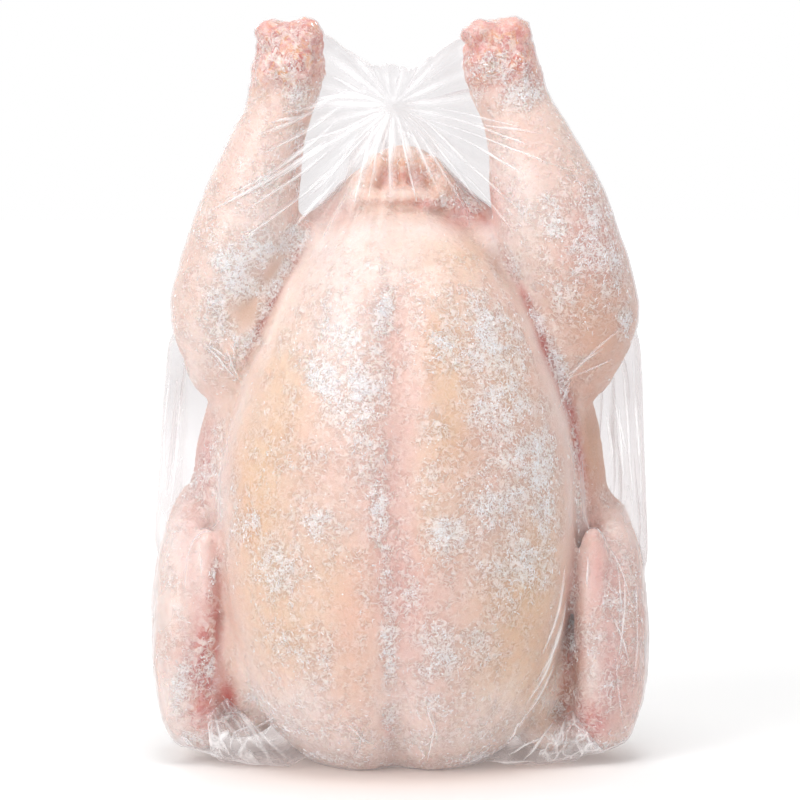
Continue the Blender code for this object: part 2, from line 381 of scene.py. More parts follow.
def hockForms(side):
    # rounded cartilage and torn skin at the cut end of a leg
    x = side * (0.0427 + bird["hock"] * side)
    knobs = [lump((x - side * 0.007, -0.01, 0.3045), (0.0075, 0.008, 0.0062)),
             lump((x + side * 0.006, -0.007, 0.3055), (0.0082, 0.0085, 0.006)),
             lump((x + side * 0.001, 0.006, 0.305), (0.01, 0.0085, 0.0062)),
             lump((x - side * 0.001, -0.003, 0.3056), (0.0085, 0.0095, 0.0054)),
             lump((x - side * 0.004, -0.014, 0.293), (0.007, 0.0055, 0.0075)),
             lump((x + side * 0.007, -0.013, 0.29), (0.0065, 0.005, 0.008))]
    return knobs


def pour(form, whole):
    # a form goes into a bigger one
    piece = finishMesh(form, "piece")
    whole.from_mesh(piece)
    bpy.data.meshes.remove(piece)


def merge(name, forms):
    whole = bmesh.new()
    for form in forms:
        pour(form, whole)
    return bringIn(name, finishMesh(whole, name))


def voxelSkin(thing, size, rounds):
    # one closed skin round everything, kept as plain mesh
    remesh = thing.modifiers.new("skin", "REMESH")
    remesh.mode = "VOXEL"
    remesh.voxel_size = size
    smooth = thing.modifiers.new("even", "SMOOTH")
    smooth.factor = 0.5
    smooth.iterations = rounds
    graph = bpy.context.evaluated_depsgraph_get()
    made = bpy.data.meshes.new_from_object(thing.evaluated_get(graph))
    thing.modifiers.clear()
    old = thing.data
    thing.data = made
    made.name = old.name
    bpy.data.meshes.remove(old)


def readAll(items, name, width=1, kind=np.float32):
    flat = np.empty(len(items) * width, kind)
    items.foreach_get(name, flat)
    return flat.reshape(-1, width) if width > 1 else flat


def readPoints(mesh):
    return readAll(mesh.vertices, "co", 3).astype(float)


def readNormals(mesh):
    return readAll(mesh.vertex_normals, "vector", 3).astype(float)


def writePoints(mesh, points):
    mesh.vertices.foreach_set("co", np.asarray(points, np.float32).ravel())
    mesh.update()


def writeValue(mesh, name, values):
    layer = mesh.attributes.new(name, "FLOAT", "POINT")
    layer.data.foreach_set("value", np.asarray(values, np.float32))


def writeColor(mesh, name, colors):
    layer = mesh.attributes.new(name, "FLOAT_COLOR", "POINT")
    full = np.ones((len(colors), 4), np.float32)
    full[:, :3] = colors
    layer.data.foreach_set("color", full.ravel())


def wander(points, size, seed=0.0, depth=2):
    # smooth random value of about -1 to 1 at each point, changing over the given size
    out = np.empty(len(points))
    shift = Vector((seed * 7.3, seed * 3.1, seed * 5.7))
    for i, p in enumerate(points):
        out[i] = noise.fractal(Vector(p) / size + shift, 1.0, 2.0, depth)
    return out


def relax(mesh, points, rounds, share=None):
    edges = readAll(mesh.edges, "vertices", 2, np.int32)
    count = np.zeros(len(points))
    np.add.at(count, edges[:, 0], 1)
    np.add.at(count, edges[:, 1], 1)
    pull = 0.5 if share is None else 0.5 * share[:, None]
    for _ in range(rounds):
        total = np.zeros_like(points)
        np.add.at(total, edges[:, 0], points[edges[:, 1]])
        np.add.at(total, edges[:, 1], points[edges[:, 0]])
        points = points + pull * (total / count[:, None] - points)
    return points


def blendWings(mesh):
    # the fingers of the wings melt into the wings, but the gap beside the breast stays
    points = readPoints(mesh)
    outward = np.where(points[:, 0] < 0, bird["blendFrom"] - 0.002, bird["blendFrom"])
    share = np.clip((np.abs(points[:, 0]) - outward) / 0.006, 0, 1)
    share *= np.clip((0.128 - points[:, 2]) / 0.012, 0, 1) * (points[:, 1] < 0.02)
    writePoints(mesh, relax(mesh, points, bird["blendRounds"], share))


chicken = merge("chicken", [breast(), spine(), *tailForms(), *sideForms(-1), *sideForms(1),
                            *hockForms(-1), *hockForms(1)])
voxelSkin(chicken, bird["voxel"], bird["evenRounds"])
chicken.data.transform(Matrix.Translation((0, 0, -bird["pressed"])))
blendWings(chicken.data)
print("  faces", len(chicken.data.polygons))

skin = {
    "swell": 0.0009, "swellSize": 0.03, "crease": 0.0004, "creaseSize": 0.0075,
    "raw": 0.0016, "rawSize": 0.0045, "rawFrom": 0.276, "wingWrinkle": 0.0005, "spine": 0.0014,
    "floor": 0.0006, "thinFrost": 0.1,
}
tones = {
    "base": (0.8, 0.59, 0.5), "yellow": (0.82, 0.57, 0.36), "pink": (0.76, 0.45, 0.41),
    "brown": (0.58, 0.3, 0.21), "red": (0.62, 0.18, 0.16), "pale": (0.86, 0.73, 0.68),
    "orange": (0.8, 0.42, 0.22), "paintedRecessShade": (0.34, 0.11, 0.075), "tan": (0.66, 0.395, 0.27),
    "umber": (0.56, 0.31, 0.18), "cream": (0.9, 0.765, 0.69), "milky": (0.93, 0.83, 0.78),
    "brickRecessShade": (0.5, 0.17, 0.12), "goreAndShade": (0.46, 0.05, 0.035), "rose": (0.74, 0.33, 0.31),
}
# where each tint lies on the front, later ones over earlier ones: x, z, half width, half height, strength
tints = [
    ("yellow", [(-0.06, 0.125, 0.016, 0.06, 0.75), (-0.046, 0.165, 0.014, 0.03, 0.6),
                (0.02, 0.165, 0.01, 0.045, 0.75), (0.03, 0.215, 0.02, 0.012, 0.45),
                (-0.03, 0.085, 0.025, 0.02, 0.55), (0.05, 0.055, 0.02, 0.04, 0.7),
                (-0.05, 0.06, 0.018, 0.025, 0.6), (0.01, 0.222, 0.03, 0.012, 0.5),
                (0.058, 0.105, 0.012, 0.03, 0.4)]),
    ("pink", [(-0.004, 0.13, 0.01, 0.08, 0.55), (0.004, 0.075, 0.028, 0.03, 0.5),
              (0.045, 0.15, 0.018, 0.03, 0.35), (-0.01, 0.03, 0.04, 0.02, 0.4),
              (-0.086, 0.06, 0.018, 0.06, 0.6), (0.088, 0.06, 0.018, 0.06, 0.8),
              (0.082, 0.075, 0.008, 0.04, 0.7), (-0.08, 0.09, 0.007, 0.024, 0.8),
              (-0.082, 0.13, 0.012, 0.03, 0.9)]),
    ("red", [(-0.082, 0.028, 0.006, 0.014, 0.7), (0.079, 0.022, 0.005, 0.006, 0.8)]),
    # the last brown spot darkens the right knee, away from the key lamp: painted shade
    ("brown", [(0.08, 0.13, 0.012, 0.028, 0.8), (-0.076, 0.172, 0.012, 0.018, 0.55),
               (0.084, 0.178, 0.014, 0.02, 0.6)]),
    ("pale", [(-0.03, 0.19, 0.02, 0.03, 0.5), (-0.058, 0.24, 0.018, 0.04, 0.5),
              (0.052, 0.25, 0.018, 0.03, 0.4)]),
    ("orange", [(0.0, 0.24, 0.018, 0.01, 0.55), (-0.062, 0.105, 0.006, 0.012, 0.45),
                (0.014, 0.178, 0.004, 0.01, 0.35)]),
    # painted shade in the recesses beside the wings and low at the foot
    ("paintedRecessShade", [(0.0715, 0.06, 0.0035, 0.03, 1.0), (-0.076, 0.045, 0.0022, 0.03, 0.8),
              (0.066, 0.02, 0.004, 0.014, 0.8), (-0.07, 0.018, 0.004, 0.014, 0.7)]),
    ("red", [(-0.005, 0.246, 0.004, 0.004, 0.3), (0.007, 0.2465, 0.0045, 0.0045, 0.5),
             (0.003, 0.2362, 0.015, 0.0014, 0.55), (0.012, 0.235, 0.005, 0.0022, 0.6)]),
    ("pale", [(0.0, 0.24, 0.012, 0.0025, 0.6)]),
    ("red", [(0.026, 0.233, 0.01, 0.01, 0.35), (-0.04, 0.226, 0.006, 0.012, 0.6),
             (0.04, 0.224, 0.005, 0.012, 0.6)]),
]
# spots from here on are in pixels of an 800 x 800 picture from the front:
# x, y, half width, half height, lean in degrees, strength. First more tints
tintSpots = [
    ("umber", [(249, 311, 14, 20, 25, 1.0), (275, 266, 5, 20, 35, 0.9)]),
    ("cream", [(310, 258, 12, 30, 30, 0.8), (290, 292, 12, 30, 28, 0.8), (268, 335, 12, 34, 26, 0.7)]),
    ("pale", [(246, 390, 9, 40, 18, 0.7), (530, 330, 7, 50, -21, 0.7), (556, 405, 7, 46, -16, 0.7),
              (568, 500, 6, 60, 0, 0.6)]),
    # the tan at (605, 335) and (590, 290) darkens the right leg's outer side, away from the key lamp:
    # painted shade
    ("tan", [(232, 346, 12, 11, 0, 0.8), (605, 335, 28, 34, 0, 0.75), (590, 290, 30, 36, 0, 0.6)]),
    ("rose", [(590, 240, 34, 50, 0, 0.45)]),
    ("tan", [(470, 470, 40, 60, 0, 0.3), (515, 610, 34, 80, 0, 0.6)]),
    ("yellow", [(505, 700, 40, 40, 0, 0.5)]),
    # milky: at (330, 262) and (345, 322) a painted highlight on the upper left breast, and low on the
    # breast and wing painted light on the underside
    ("milky", [(400, 228, 70, 18, 0, 0.9), (330, 262, 46, 40, 20, 0.6), (390, 262, 60, 26, 0, 0.5),
               (345, 322, 16, 30, 0, 0.8), (400, 702, 60, 40, 0, 0.6), (302, 702, 34, 30, 20, 0.7),
               (180, 700, 20, 34, 0, 0.8), (275, 240, 14, 24, 20, 0.5)]),
    ("cream", [(512, 192, 12, 44, -12, 0.9)]),
    # painted shade: a dark line down the left recess and the shadow at its foot
    ("brickRecessShade", [(219.5, 628, 4, 72, 2, 1.0), (228, 690, 9, 20, -12, 1.0)]),
    # deep red low on the left wing: partly its own raw red, partly painted shade beside the recess
    ("goreAndShade", [(212, 664, 4, 26, 8, 0.8), (200, 694, 5, 12, 20, 0.5), (190, 676, 4, 12, 30, 0.4)]),
    # painted shade down the right recess and at its foot
    ("brickRecessShade", [(568, 618, 5, 60, 3, 1.0), (564, 690, 6, 20, 8, 0.6)]),
    ("rose", [(385, 174, 6, 9, 0, 0.7), (410, 174, 9, 9, 0, 0.8)]),
    # the cream at (500, 700) is painted light on the lower right of the breast
    ("cream", [(500, 700, 34, 30, -20, 1.0)]), ("milky", [(510, 196, 11, 40, -12, 1.0)]),
    ("cream", [(204, 340, 30, 50, 8, 0.5), (214, 262, 22, 40, 14, 0.4)]),
    ("tan", [(628, 604, 12, 60, 0, 0.35)]), ("yellow", [(170, 590, 12, 60, 0, 0.35)]),
    ("rose", [(203, 606, 8, 36, 4, 0.7), (186, 520, 14, 26, 0, 0.3)]),
    # painted shade down the recess between the left wing and the breast
    ("paintedRecessShade", [(218, 632, 5, 66, 0, 1.0)]),
    # the first brown spot is a painted shadow at the foot of the left recess
    ("brown", [(230, 684, 12, 16, -10, 1.0), (205, 628, 6, 22, 10, 0.5)]),
    ("red", [(589, 720, 6, 8, 0, 0.8)]), ("tan", [(448, 186, 8, 10, -30, 0.5)]),
    ("milky", [(496, 232, 12, 30, -24, 1.0), (520, 272, 9, 30, -24, 0.8)]),
    ("rose", [(303, 160, 6, 24, 0, 0.6)]),
    ("cream", [(246, 352, 14, 34, 14, 0.6), (216, 440, 14, 60, 6, 0.6)]),
    ("milky", [(216, 510, 16, 36, 0, 0.6), (190, 700, 16, 34, 0, 0.7)]),
    ("cream", [(252, 680, 16, 60, -12, 0.8)]), ("milky", [(590, 670, 9, 70, 4, 0.7)]),
    ("yellow", [(510, 620, 36, 70, 0, 0.5), (362, 640, 18, 70, 0, 0.4)]),
    # painted light: a pale band along the foot of the breast, which faces down
    ("milky", [(400, 733, 150, 11, 0, 0.9)]),
    ("rose", [(355, 640, 16, 60, 0, 0.25), (388, 762, 34, 7, 0, 0.8), (388, 728, 6, 22, 0, 0.7)]),
    ("tan", [(388, 763, 34, 7, 0, 0.6)]),
    ("milky", [(494, 236, 14, 20, -24, 0.8), (512, 262, 9, 20, -24, 0.6), (584, 580, 7, 50, 0, 0.7)]),
    # the tan at (582, 312) darkens the right leg's outer side: painted shade
    ("cream", [(612, 522, 12, 24, -20, 0.7)]), ("tan", [(582, 312, 16, 22, 0, 0.7)]),
    ("yellow", [(430, 500, 16, 60, 0, 0.4)]), ("cream", [(345, 192, 18, 14, 0, 0.6)]),
    ("yellow", [(505, 370, 24, 60, -10, 0.5), (345, 660, 20, 40, 0, 0.3)]),
    ("milky", [(190, 372, 14, 26, 0, 0.4)]), ("cream", [(400, 192, 24, 6, 0, 0.5)]),
    # the pale spots low on the breast, from y 722 to 742, are painted light on its underside
    ("pale", [(300, 722, 56, 30, 20, 0.8), (400, 742, 80, 24, 0, 0.7), (490, 735, 50, 26, 0, 0.5),
              (502, 190, 14, 54, -6, 0.8), (266, 200, 30, 60, 15, 0.5), (236, 260, 30, 50, 15, 0.5),
              (196, 732, 34, 20, 0, 0.9)]),
    ("orange", [(400, 158, 26, 6, 0, 0.6), (411, 171, 9, 10, 0, 0.3)]),
    ("rose", [(424, 202, 10, 5, 0, 0.8), (482, 200, 14, 36, -38, 0.6)]),
    ("goreAndShade", [(470, 203, 3, 16, -50, 0.6), (484, 214, 3, 8, -30, 0.5)]),
    # painted shade down the left recess, and a painted shadow at its foot
    ("paintedRecessShade", [(219, 624, 3, 50, 2, 1.0)]), ("goreAndShade", [(229, 690, 7, 14, -10, 0.9)]),
    ("rose", [(205, 660, 10, 50, 8, 0.6)]),
    # pale on the tops of the two wing tips: partly a painted highlight of the glossy film
    ("pale", [(583, 560, 6, 40, 0, 0.7), (203, 556, 7, 28, 0, 0.6)]),
    ("yellow", [(530, 690, 30, 40, 0, 0.5), (532, 575, 18, 50, 0, 0.5)]),
    # the pale at (370, 752) is painted light along the foot of the breast
    ("pale", [(370, 752, 90, 14, 0, 0.6)]), ("cream", [(318, 192, 14, 30, 42, 0.8)]),
    # the pale at (500, 720) is painted light on the lower right of the breast
    ("pale", [(500, 720, 50, 40, 0, 0.4)]), ("red", [(205, 672, 9, 44, 0, 0.5)]),
    ("rose", [(210, 600, 6, 40, 8, 0.5)]),
    ("pale", [(172, 540, 26, 80, 0, 0.7), (205, 560, 12, 50, 0, 0.5), (205, 350, 26, 36, 0, 0.6),
              (275, 236, 18, 30, 20, 0.6), (515, 200, 18, 50, -10, 0.6)]),
    ("tan", [(320, 455, 26, 34, 0, 0.4)]), ("rose", [(500, 48, 20, 20, 0, 0.8), (300, 40, 22, 16, 0, 0.7)]),
    ("tan", [(597, 440, 18, 44, -16, 1.0), (630, 600, 14, 70, 0, 0.1)]),
    # deep red along the grooves between the legs and the breast: partly the skin's own red, partly painted
    # shade in the crease
    ("goreAndShade", [(297, 255, 4, 15, 20, 0.8), (277, 292, 4, 22, 25, 0.8), (263, 322, 4, 18, 25, 0.7),
              (249, 352, 4, 16, 25, 0.4), (508, 262, 4, 20, -24, 0.5), (527, 302, 4, 24, -24, 0.8),
              (545, 348, 6, 30, -22, 1.0), (566, 398, 6, 26, -20, 1.0), (578, 450, 5, 34, -10, 0.8)]),
    # painted shade in the recess beside the right wing
    ("paintedRecessShade", [(571, 640, 5, 50, 4, 0.6)]),
    # painted shade: deep red down the left recess and at its foot
    ("goreAndShade", [(228, 700, 7, 20, -14, 0.5), (217, 610, 3, 60, 0, 0.6)]),
    ("rose", [(204, 678, 14, 42, 0, 0.75), (206, 452, 8, 34, 8, 0.5), (590, 722, 14, 12, 0, 0.9),
              (580, 712, 10, 18, 0, 0.5), (592, 570, 12, 50, 0, 0.4), (332, 205, 22, 16, 30, 0.45),
              (468, 205, 26, 14, -35, 0.8)]),
]
# where the flesh is bare and stringy
rawSpots = [
    (288, 60, 32, 36, 0, 1.0), (502, 56, 34, 34, 0, 0.8), (203, 664, 14, 64, 8, 1.2),
    (472, 200, 24, 13, -40, 0.9), (589, 714, 11, 22, 0, 0.7), (571, 665, 7, 50, 4, 0.6),
    (412, 172, 34, 12, 0, 0.4), (206, 470, 9, 40, 4, 0.6), (190, 700, 14, 18, 0, 0.5),
]
# where the frost lies
frostSpots = [
    (288, 60, 34, 28, 0, 0.4), (298, 92, 16, 18, 0, 0.6), (500, 76, 38, 26, 0, 0.55),
    (520, 92, 22, 20, 0, 0.9), (298, 150, 8, 44, 0, 0.55), (262, 190, 14, 30, 20, 0.45),
    (280, 280, 15, 36, 30, 1.0), (262, 250, 22, 22, 0, 0.9), (242, 282, 24, 16, 30, 1.0),
    (288, 240, 10, 26, 25, 0.9), (222, 318, 12, 24, 0, 0.85), (258, 345, 12, 20, 30, 1.0),
    (545, 205, 40, 14, -20, 0.55), (575, 300, 26, 26, 0, 0.3), (300, 722, 50, 20, 0, 0.35),
    (400, 735, 70, 16, 0, 0.35), (490, 725, 40, 18, 0, 0.35), (258, 316, 22, 34, 32, 1.0),
    (240, 344, 20, 22, 28, 1.0), (232, 258, 18, 18, 0, 1.0), (220, 296, 14, 26, 10, 0.75),
    (256, 356, 8, 20, 25, 1.0), (302, 236, 8, 16, 20, 0.9), (212, 230, 14, 26, 0, 0.45),
    (240, 352, 10, 14, 0, 0.6), (424, 178, 12, 12, 0, 0.35), (452, 192, 18, 12, -40, 0.5),
    (476, 208, 14, 22, -40, 0.75), (466, 190, 8, 16, -40, 0.6), (500, 350, 34, 60, -10, 0.62),
    (516, 470, 34, 80, 0, 0.52), (505, 560, 36, 34, 0, 0.5), (300, 752, 60, 8, 0, 0.8),
    (400, 760, 80, 7, 0, 0.35), (490, 752, 50, 8, 0, 0.8), (200, 738, 30, 8, 10, 0.7),
    (590, 742, 30, 7, 0, 0.7), (328, 318, 8, 26, 0, 0.65), (384, 312, 9, 28, 6, 1.0),
    (330, 378, 16, 34, -25, 0.95), (362, 386, 24, 34, 0, 1.0), (345, 345, 22, 26, 0, 0.7),
    (372, 440, 16, 24, 0, 0.7), (382, 498, 10, 34, 0, 0.95), (386, 560, 7, 30, 0, 0.6),
    (390, 632, 7, 40, 0, 0.9), (392, 708, 10, 18, 0, 0.8), (300, 345, 8, 30, 0, 0.35),
    (250, 520, 14, 26, 0, 0.6), (284, 560, 26, 26, 0, 0.75), (316, 516, 22, 22, 0, 0.6),
    (300, 450, 34, 16, 0, 0.35), (318, 648, 26, 30, 0, 0.5), (282, 640, 22, 26, 0, 0.4),
    (262, 690, 16, 18, 0, 0.45), (340, 560, 22, 30, 0, 0.3), (440, 345, 16, 16, 0, 0.9),
    (482, 330, 26, 34, -20, 0.9), (468, 360, 22, 14, 0, 0.75), (520, 330, 12, 40, -20, 0.6),
    (500, 400, 30, 30, 0, 0.8), (512, 452, 30, 30, 0, 0.75), (532, 440, 14, 14, 0, 1.0),
    (540, 480, 14, 70, 0, 0.8), (490, 500, 30, 24, 0, 0.8), (446, 528, 20, 22, 0, 1.0),
    (522, 556, 24, 24, 0, 0.85), (502, 590, 24, 10, 20, 0.55), (420, 480, 16, 30, 0, 0.45),
    (430, 430, 18, 26, 0, 0.4), (436, 640, 22, 36, 0, 0.7), (470, 640, 26, 24, 20, 0.5),
    (440, 690, 34, 20, 0, 0.45), (410, 590, 14, 26, 0, 0.4), (350, 720, 40, 16, 0, 0.35),
    (500, 690, 26, 20, 0, 0.2), (512, 268, 7, 22, -22, 0.8), (534, 318, 8, 30, -20, 0.95),
    (556, 368, 9, 34, -18, 0.95), (574, 430, 8, 34, -8, 0.7), (577, 500, 6, 40, 0, 0.6),
    (574, 560, 6, 40, 4, 0.55), (570, 640, 6, 30, 6, 0.6), (560, 700, 8, 24, 12, 0.5),
    (551, 224, 14, 12, 0, 0.95), (582, 246, 22, 36, 0, 0.65), (598, 232, 16, 54, -18, 0.8),
    (606, 270, 12, 40, 0, 0.6), (600, 210, 12, 30, 0, 0.5), (560, 300, 14, 20, 0, 0.6),
    (622, 322, 9, 16, 0, 0.8), (540, 270, 14, 18, 0, 0.5), (575, 180, 14, 30, 0, 0.35),
    (216, 480, 7, 60, 0, 0.5), (216, 562, 6, 26, 0, 0.9), (216, 650, 7, 34, 0, 0.95),
    (228, 700, 8, 20, 0, 0.7), (186, 670, 9, 34, 14, 0.85), (206, 660, 12, 40, 0, 0.6),
    (176, 560, 14, 60, 0, 0.35), (196, 470, 12, 30, 0, 0.5), (604, 470, 10, 26, 0, 0.6),
    (612, 600, 14, 40, 0, 0.45), (606, 680, 12, 26, 0, 0.5), (592, 640, 8, 30, 0, 0.5),
    (632, 600, 8, 60, 0, 0.35),
]
# and where there is none
bareSpots = [
    (249, 311, 11, 17, 25, 1), (275, 266, 4, 16, 35, 0.9), (230, 345, 9, 8, 0, 0.8),
    (598, 440, 17, 44, -14, 1), (486, 222, 12, 16, 0, 0.8), (412, 470, 10, 60, 0, 0.3),
    (345, 600, 12, 50, 0, 0.3), (236, 610, 14, 60, 4, 0.3), (308, 258, 8, 26, 30, 0.9),
    (290, 288, 8, 26, 28, 0.9), (274, 322, 9, 28, 26, 0.8), (258, 360, 9, 32, 22, 0.7),
    (240, 410, 8, 40, 12, 0.6), (518, 300, 6, 26, -22, 0.9), (532, 336, 6, 28, -22, 0.9),
    (548, 380, 6, 30, -20, 0.9), (562, 430, 6, 36, -12, 0.9), (568, 490, 5, 44, -3, 0.8),
    (566, 560, 5, 44, 4, 0.8), (604, 338, 20, 16, 0, 0.5), (535, 160, 20, 40, -10, 0.35),
    (400, 228, 60, 16, 0, 0.8), (588, 560, 9, 34, 0, 0.8), (219.5, 610, 4, 60, 2, 0.8),
    (228, 694, 10, 16, -12, 0.7), (212, 540, 7, 30, 4, 0.7), (190, 560, 20, 40, 0, 0.35),
    (205, 700, 9, 12, 0, 0.5), (220, 640, 5, 50, 0, 0.8), (204, 620, 8, 24, 8, 0.6),
]
picture = {"width": 800, "footY": 765}


def pixel(px, py):
    # a spot of the picture as x and z on the front of the bag
    scale = picture["width"] / shot["frameWidth"]
    return (px - picture["width"] / 2) / scale, (picture["footY"] - py) / scale - bird["pressed"]


def spotShare(points, x, z, wide, high, lean=0.0):
    away, up = points[:, 0] - x, points[:, 2] - z
    turn = math.radians(lean)
    across = away * math.cos(turn) + up * -math.sin(turn)
    upward = away * math.sin(turn) + up * math.cos(turn)
    return np.exp(-((across / wide) ** 2 + (upward / high) ** 2))


def pictureShare(shown, spot, grow=1.0):
    # how much each point belongs to a spot of the picture
    px, py, wide, high, lean, strength = spot
    scale = picture["width"] / shot["frameWidth"]
    return strength * spotShare(shown, *pixel(px, py), wide * grow / scale, high * grow / scale, lean)


def blendIn(colors, tone, share):
    colors += (np.array(tones[tone]) - colors) * share[:, None]


def wrinkleSkin(mesh, hocks):
    # the wide form, then creases in the skin, then the torn leg ends
    points = readPoints(mesh)
    move = skin["swell"] * wander(points, skin["swellSize"], 1)
    move += skin["crease"] * (1 - 2 * np.abs(wander(points, skin["creaseSize"], 2, 3))) * 0.7
    move += skin["raw"] * hocks * wander(points, skin["rawSize"], 3, 3)
    # upright wrinkles in the loose skin of the wings
    wings = np.clip((np.abs(points[:, 0]) - 0.078) / 0.006, 0, 1)
    wings *= np.clip((0.125 - points[:, 2]) / 0.02, 0, 1)
    upright = points * np.array([1.0, 1.0, 0.28])
    move += skin["wingWrinkle"] * wings * (1 - 2.4 * np.abs(wander(upright, 0.0055, 4, 2)))
    backbone = np.exp(-(points[:, 0] / 0.007) ** 2) * (points[:, 1] > 0.03)
    move += skin["spine"] * (backbone * np.clip(points[:, 2] / 0.03, 0, 1))
    points = points + readNormals(mesh) * move[:, None]
    points[:, 2] = np.maximum(points[:, 2], skin["floor"])
    writePoints(mesh, points)
    return points


def tintSkin(points, shown, front, blotch, hocks):
    colors = np.tile(np.array(tones["base"]), (len(points), 1))
    blendIn(colors, "yellow", np.clip(0.35 + blotch, 0, 1) * (1 - front) * 0.6)
    blendIn(colors, "pink", np.clip(wander(points, 0.028, 6, 2) * 1.3, 0, 1) * (0.55 - 0.3 * front))
    for tone, spots in tints:
        for x, z, wide, high, strength in spots:
            share = spotShare(points, x, z - bird["pressed"], wide, high) * strength * (0.25 + 0.75 * front)
            share *= np.clip(1 + 0.7 * blotch, 0, 1.4)
            blendIn(colors, tone, np.clip(share, 0, 1))
    for tone, spots in tintSpots:
        for spot in spots:
            share = pictureShare(shown, spot) * np.minimum(1, front * 2) * np.clip(1 + 0.5 * blotch, 0, 1.3)
            blendIn(colors, tone, np.clip(share, 0, 1))
    blendIn(colors, "rose", hocks * 0.6)
    blendIn(colors, "red", hocks * np.clip(wander(points, 0.007, 8, 3) * 1.8 + 0.1, 0, 1) * 0.8)
    blendIn(colors, "orange", hocks * np.clip(wander(points, 0.006, 9, 2) * 1.8 - 0.1, 0, 1) * 0.6)
    return colors


def spreadFrost(points, shown, front, blotch):
    # 1 is thick frost, and below nothing even the lace of frost is gone
    frost = np.zeros(len(points))
    for spot in frostSpots:
        frost = np.maximum(frost, pictureShare(shown, spot, 1.15) * front)
    elsewhere = np.clip(wander(points, 0.026, 11, 3) * 0.95 + 0.16, 0, 0.85)
    frost = np.maximum(frost, elsewhere * (1 - front * 0.75))
    bare = np.zeros(len(points))
    for spot in bareSpots:
        bare = np.maximum(bare, pictureShare(shown, spot))
    frost += 0.3 * wander(points, 0.0095, 12, 2) * np.clip(frost * 3, 0, 1)
    frost = np.maximum(frost * 1.05, skin["thinFrost"] + 0.14 * blotch)
    bare = np.clip(bare * 1.4 + 0.3 * wander(points, 0.004, 13, 2) * (bare > 0.1), 0, 1) * (front > 0.3)
    return np.clip(frost * (1 - bare) - 0.45 * bare, -0.45, 1)


def dressChicken():
    mesh = chicken.data
    points, normals = readPoints(mesh), readNormals(mesh)
    hocks = np.clip((points[:, 2] - skin["rawFrom"]) / 0.012, 0, 1)
    front = np.clip(0.5 - normals[:, 1] * 1.4, 0, 1)
    points = wrinkleSkin(mesh, hocks)
    blotch = wander(points, 0.035, 5, 3)
    # the camera looks down a little, so what lies further back is seen higher
    shown = points.copy()
    shown[:, 2] += points[:, 1] * math.sin(math.radians(shot["elevation"]))
    writeColor(mesh, "tint", tintSkin(points, shown, front, blotch, hocks))
    raw = hocks * (1 - front)
    for spot in rawSpots:
        raw = np.maximum(raw, pictureShare(shown, spot) * front)
    writeValue(mesh, "raw", np.clip(raw, 0, 1))
    writeValue(mesh, "frost", spreadFrost(points, shown, front, blotch))
    mesh.shade_smooth()


dressChicken()


def squiggles(make, place, scale, width, seed):
    # thin curly lines where a noise crosses its middle value
    shifted = make("VectorMath", {0: place, 1: (seed, seed * 0.7, seed * 1.3)}, operation="ADD").outputs[0]
    off = maths(make, "SUBTRACT", clouds(make, shifted, scale, 2.0, 0.55, 0.6), 0.5)
    return ramp(make, maths(make, "ABSOLUTE", off), width, 0.0)


frostLook = {"scale": 390.0, "fine": 560.0, "width": 0.105, "relief": 0.00042,
             "white": (0.965, 0.943, 0.936, 1), "lace": (0.96, 0.91, 0.875, 1),
             # the 'between' colour is painted shade for the gaps between the frost's lines
             "between": (0.62, 0.515, 0.485, 1),
             "bright": (0.985, 0.985, 0.99, 1), "dull": (0.94, 0.94, 0.955, 1)}
rawLook = {"scale": 215.0, "meat": (0.52, 0.085, 0.07, 1), "fat": (0.85, 0.47, 0.21, 1),
           "sinew": (0.94, 0.83, 0.78, 1)}
skinLook = {"blush": (0.86, 0.56, 0.5, 1), "shade": (0.62, 0.42, 0.34, 1),
            "follicle": (0.62, 0.25, 0.2, 1),
            "relief": 0.0011, "rough": 0.52, "frostRough": 0.85, "gloss": 0.4,
            "inner": 0.25, "innerSpread": (1.0, 0.45, 0.3), "innerDepth": 0.004}


def mottledSkin(make, place, fine):
    tint = make("Attribute", attribute_name="tint").outputs["Color"]
    mottle = clouds(make, place, 95.0, 5.0, 0.62)
    color = blendColor(make, ramp(make, mottle, 0.52, 0.78, 0, 0.35), tint, skinLook["blush"])
    color = blendColor(make, ramp(make, fine, 0.3, 0.75, 0.0, 0.22), color, skinLook["shade"])
    cells = make("TexVoronoi", {"Vector": place, "Scale": 260.0, "Randomness": 1.0})
    dots = ramp(make, cells.outputs["Distance"], 0.16, 0.05, 0.0, 0.35)
    sparse = ramp(make, clouds(make, place, 38.0), 0.5, 0.7)
    return blendColor(make, times(make, dots, sparse), color, skinLook["follicle"])


def bareFlesh(make, place, color):
    # red, fatty and pale strings next to each other
    raw = make("Attribute", attribute_name="raw").outputs["Fac"]
    # fat shows at the leg ends, and hardly lower down
    fatty = ramp(make, make("SeparateXYZ", {0: place}).outputs["Z"], 0.19, 0.26, 0.15, 0.85)
    for seed, share, tone in ((5.0, 0.8, "meat"), (8.0, fatty, "fat"), (13.0, 0.8, "sinew")):
        moved = make("VectorMath", {0: place, 1: (seed, seed, seed)}, operation="ADD").outputs[0]
        strings = ramp(make, clouds(make, moved, rawLook["scale"], 3.0, warp=1.1), 0.5, 0.6)
        color = blendColor(make, times(make, strings, share, raw), color, rawLook[tone])
    return color


def frostShares(make, place):
    # the frost's lines, how thick the patch is, and how far its clumps cover the skin
    frost = make("Attribute", attribute_name="frost").outputs["Fac"]
    breakUp = ramp(make, clouds(make, place, 170.0, 4.0, 0.65), 0.3, 0.7, -0.42, 0.42, False)
    patch = maths(make, "ADD", frost, breakUp)
    coarse = squiggles(make, place, frostLook["scale"], frostLook["width"], 3.0)
    dense = squiggles(make, place, frostLook["fine"], frostLook["width"], 11.0)
    dense = times(make, dense, ramp(make, patch, 0.35, 0.8))
    return maths(make, "MAXIMUM", coarse, dense), patch, ramp(make, patch, 0.95, 1.5, 0.0, 0.55)


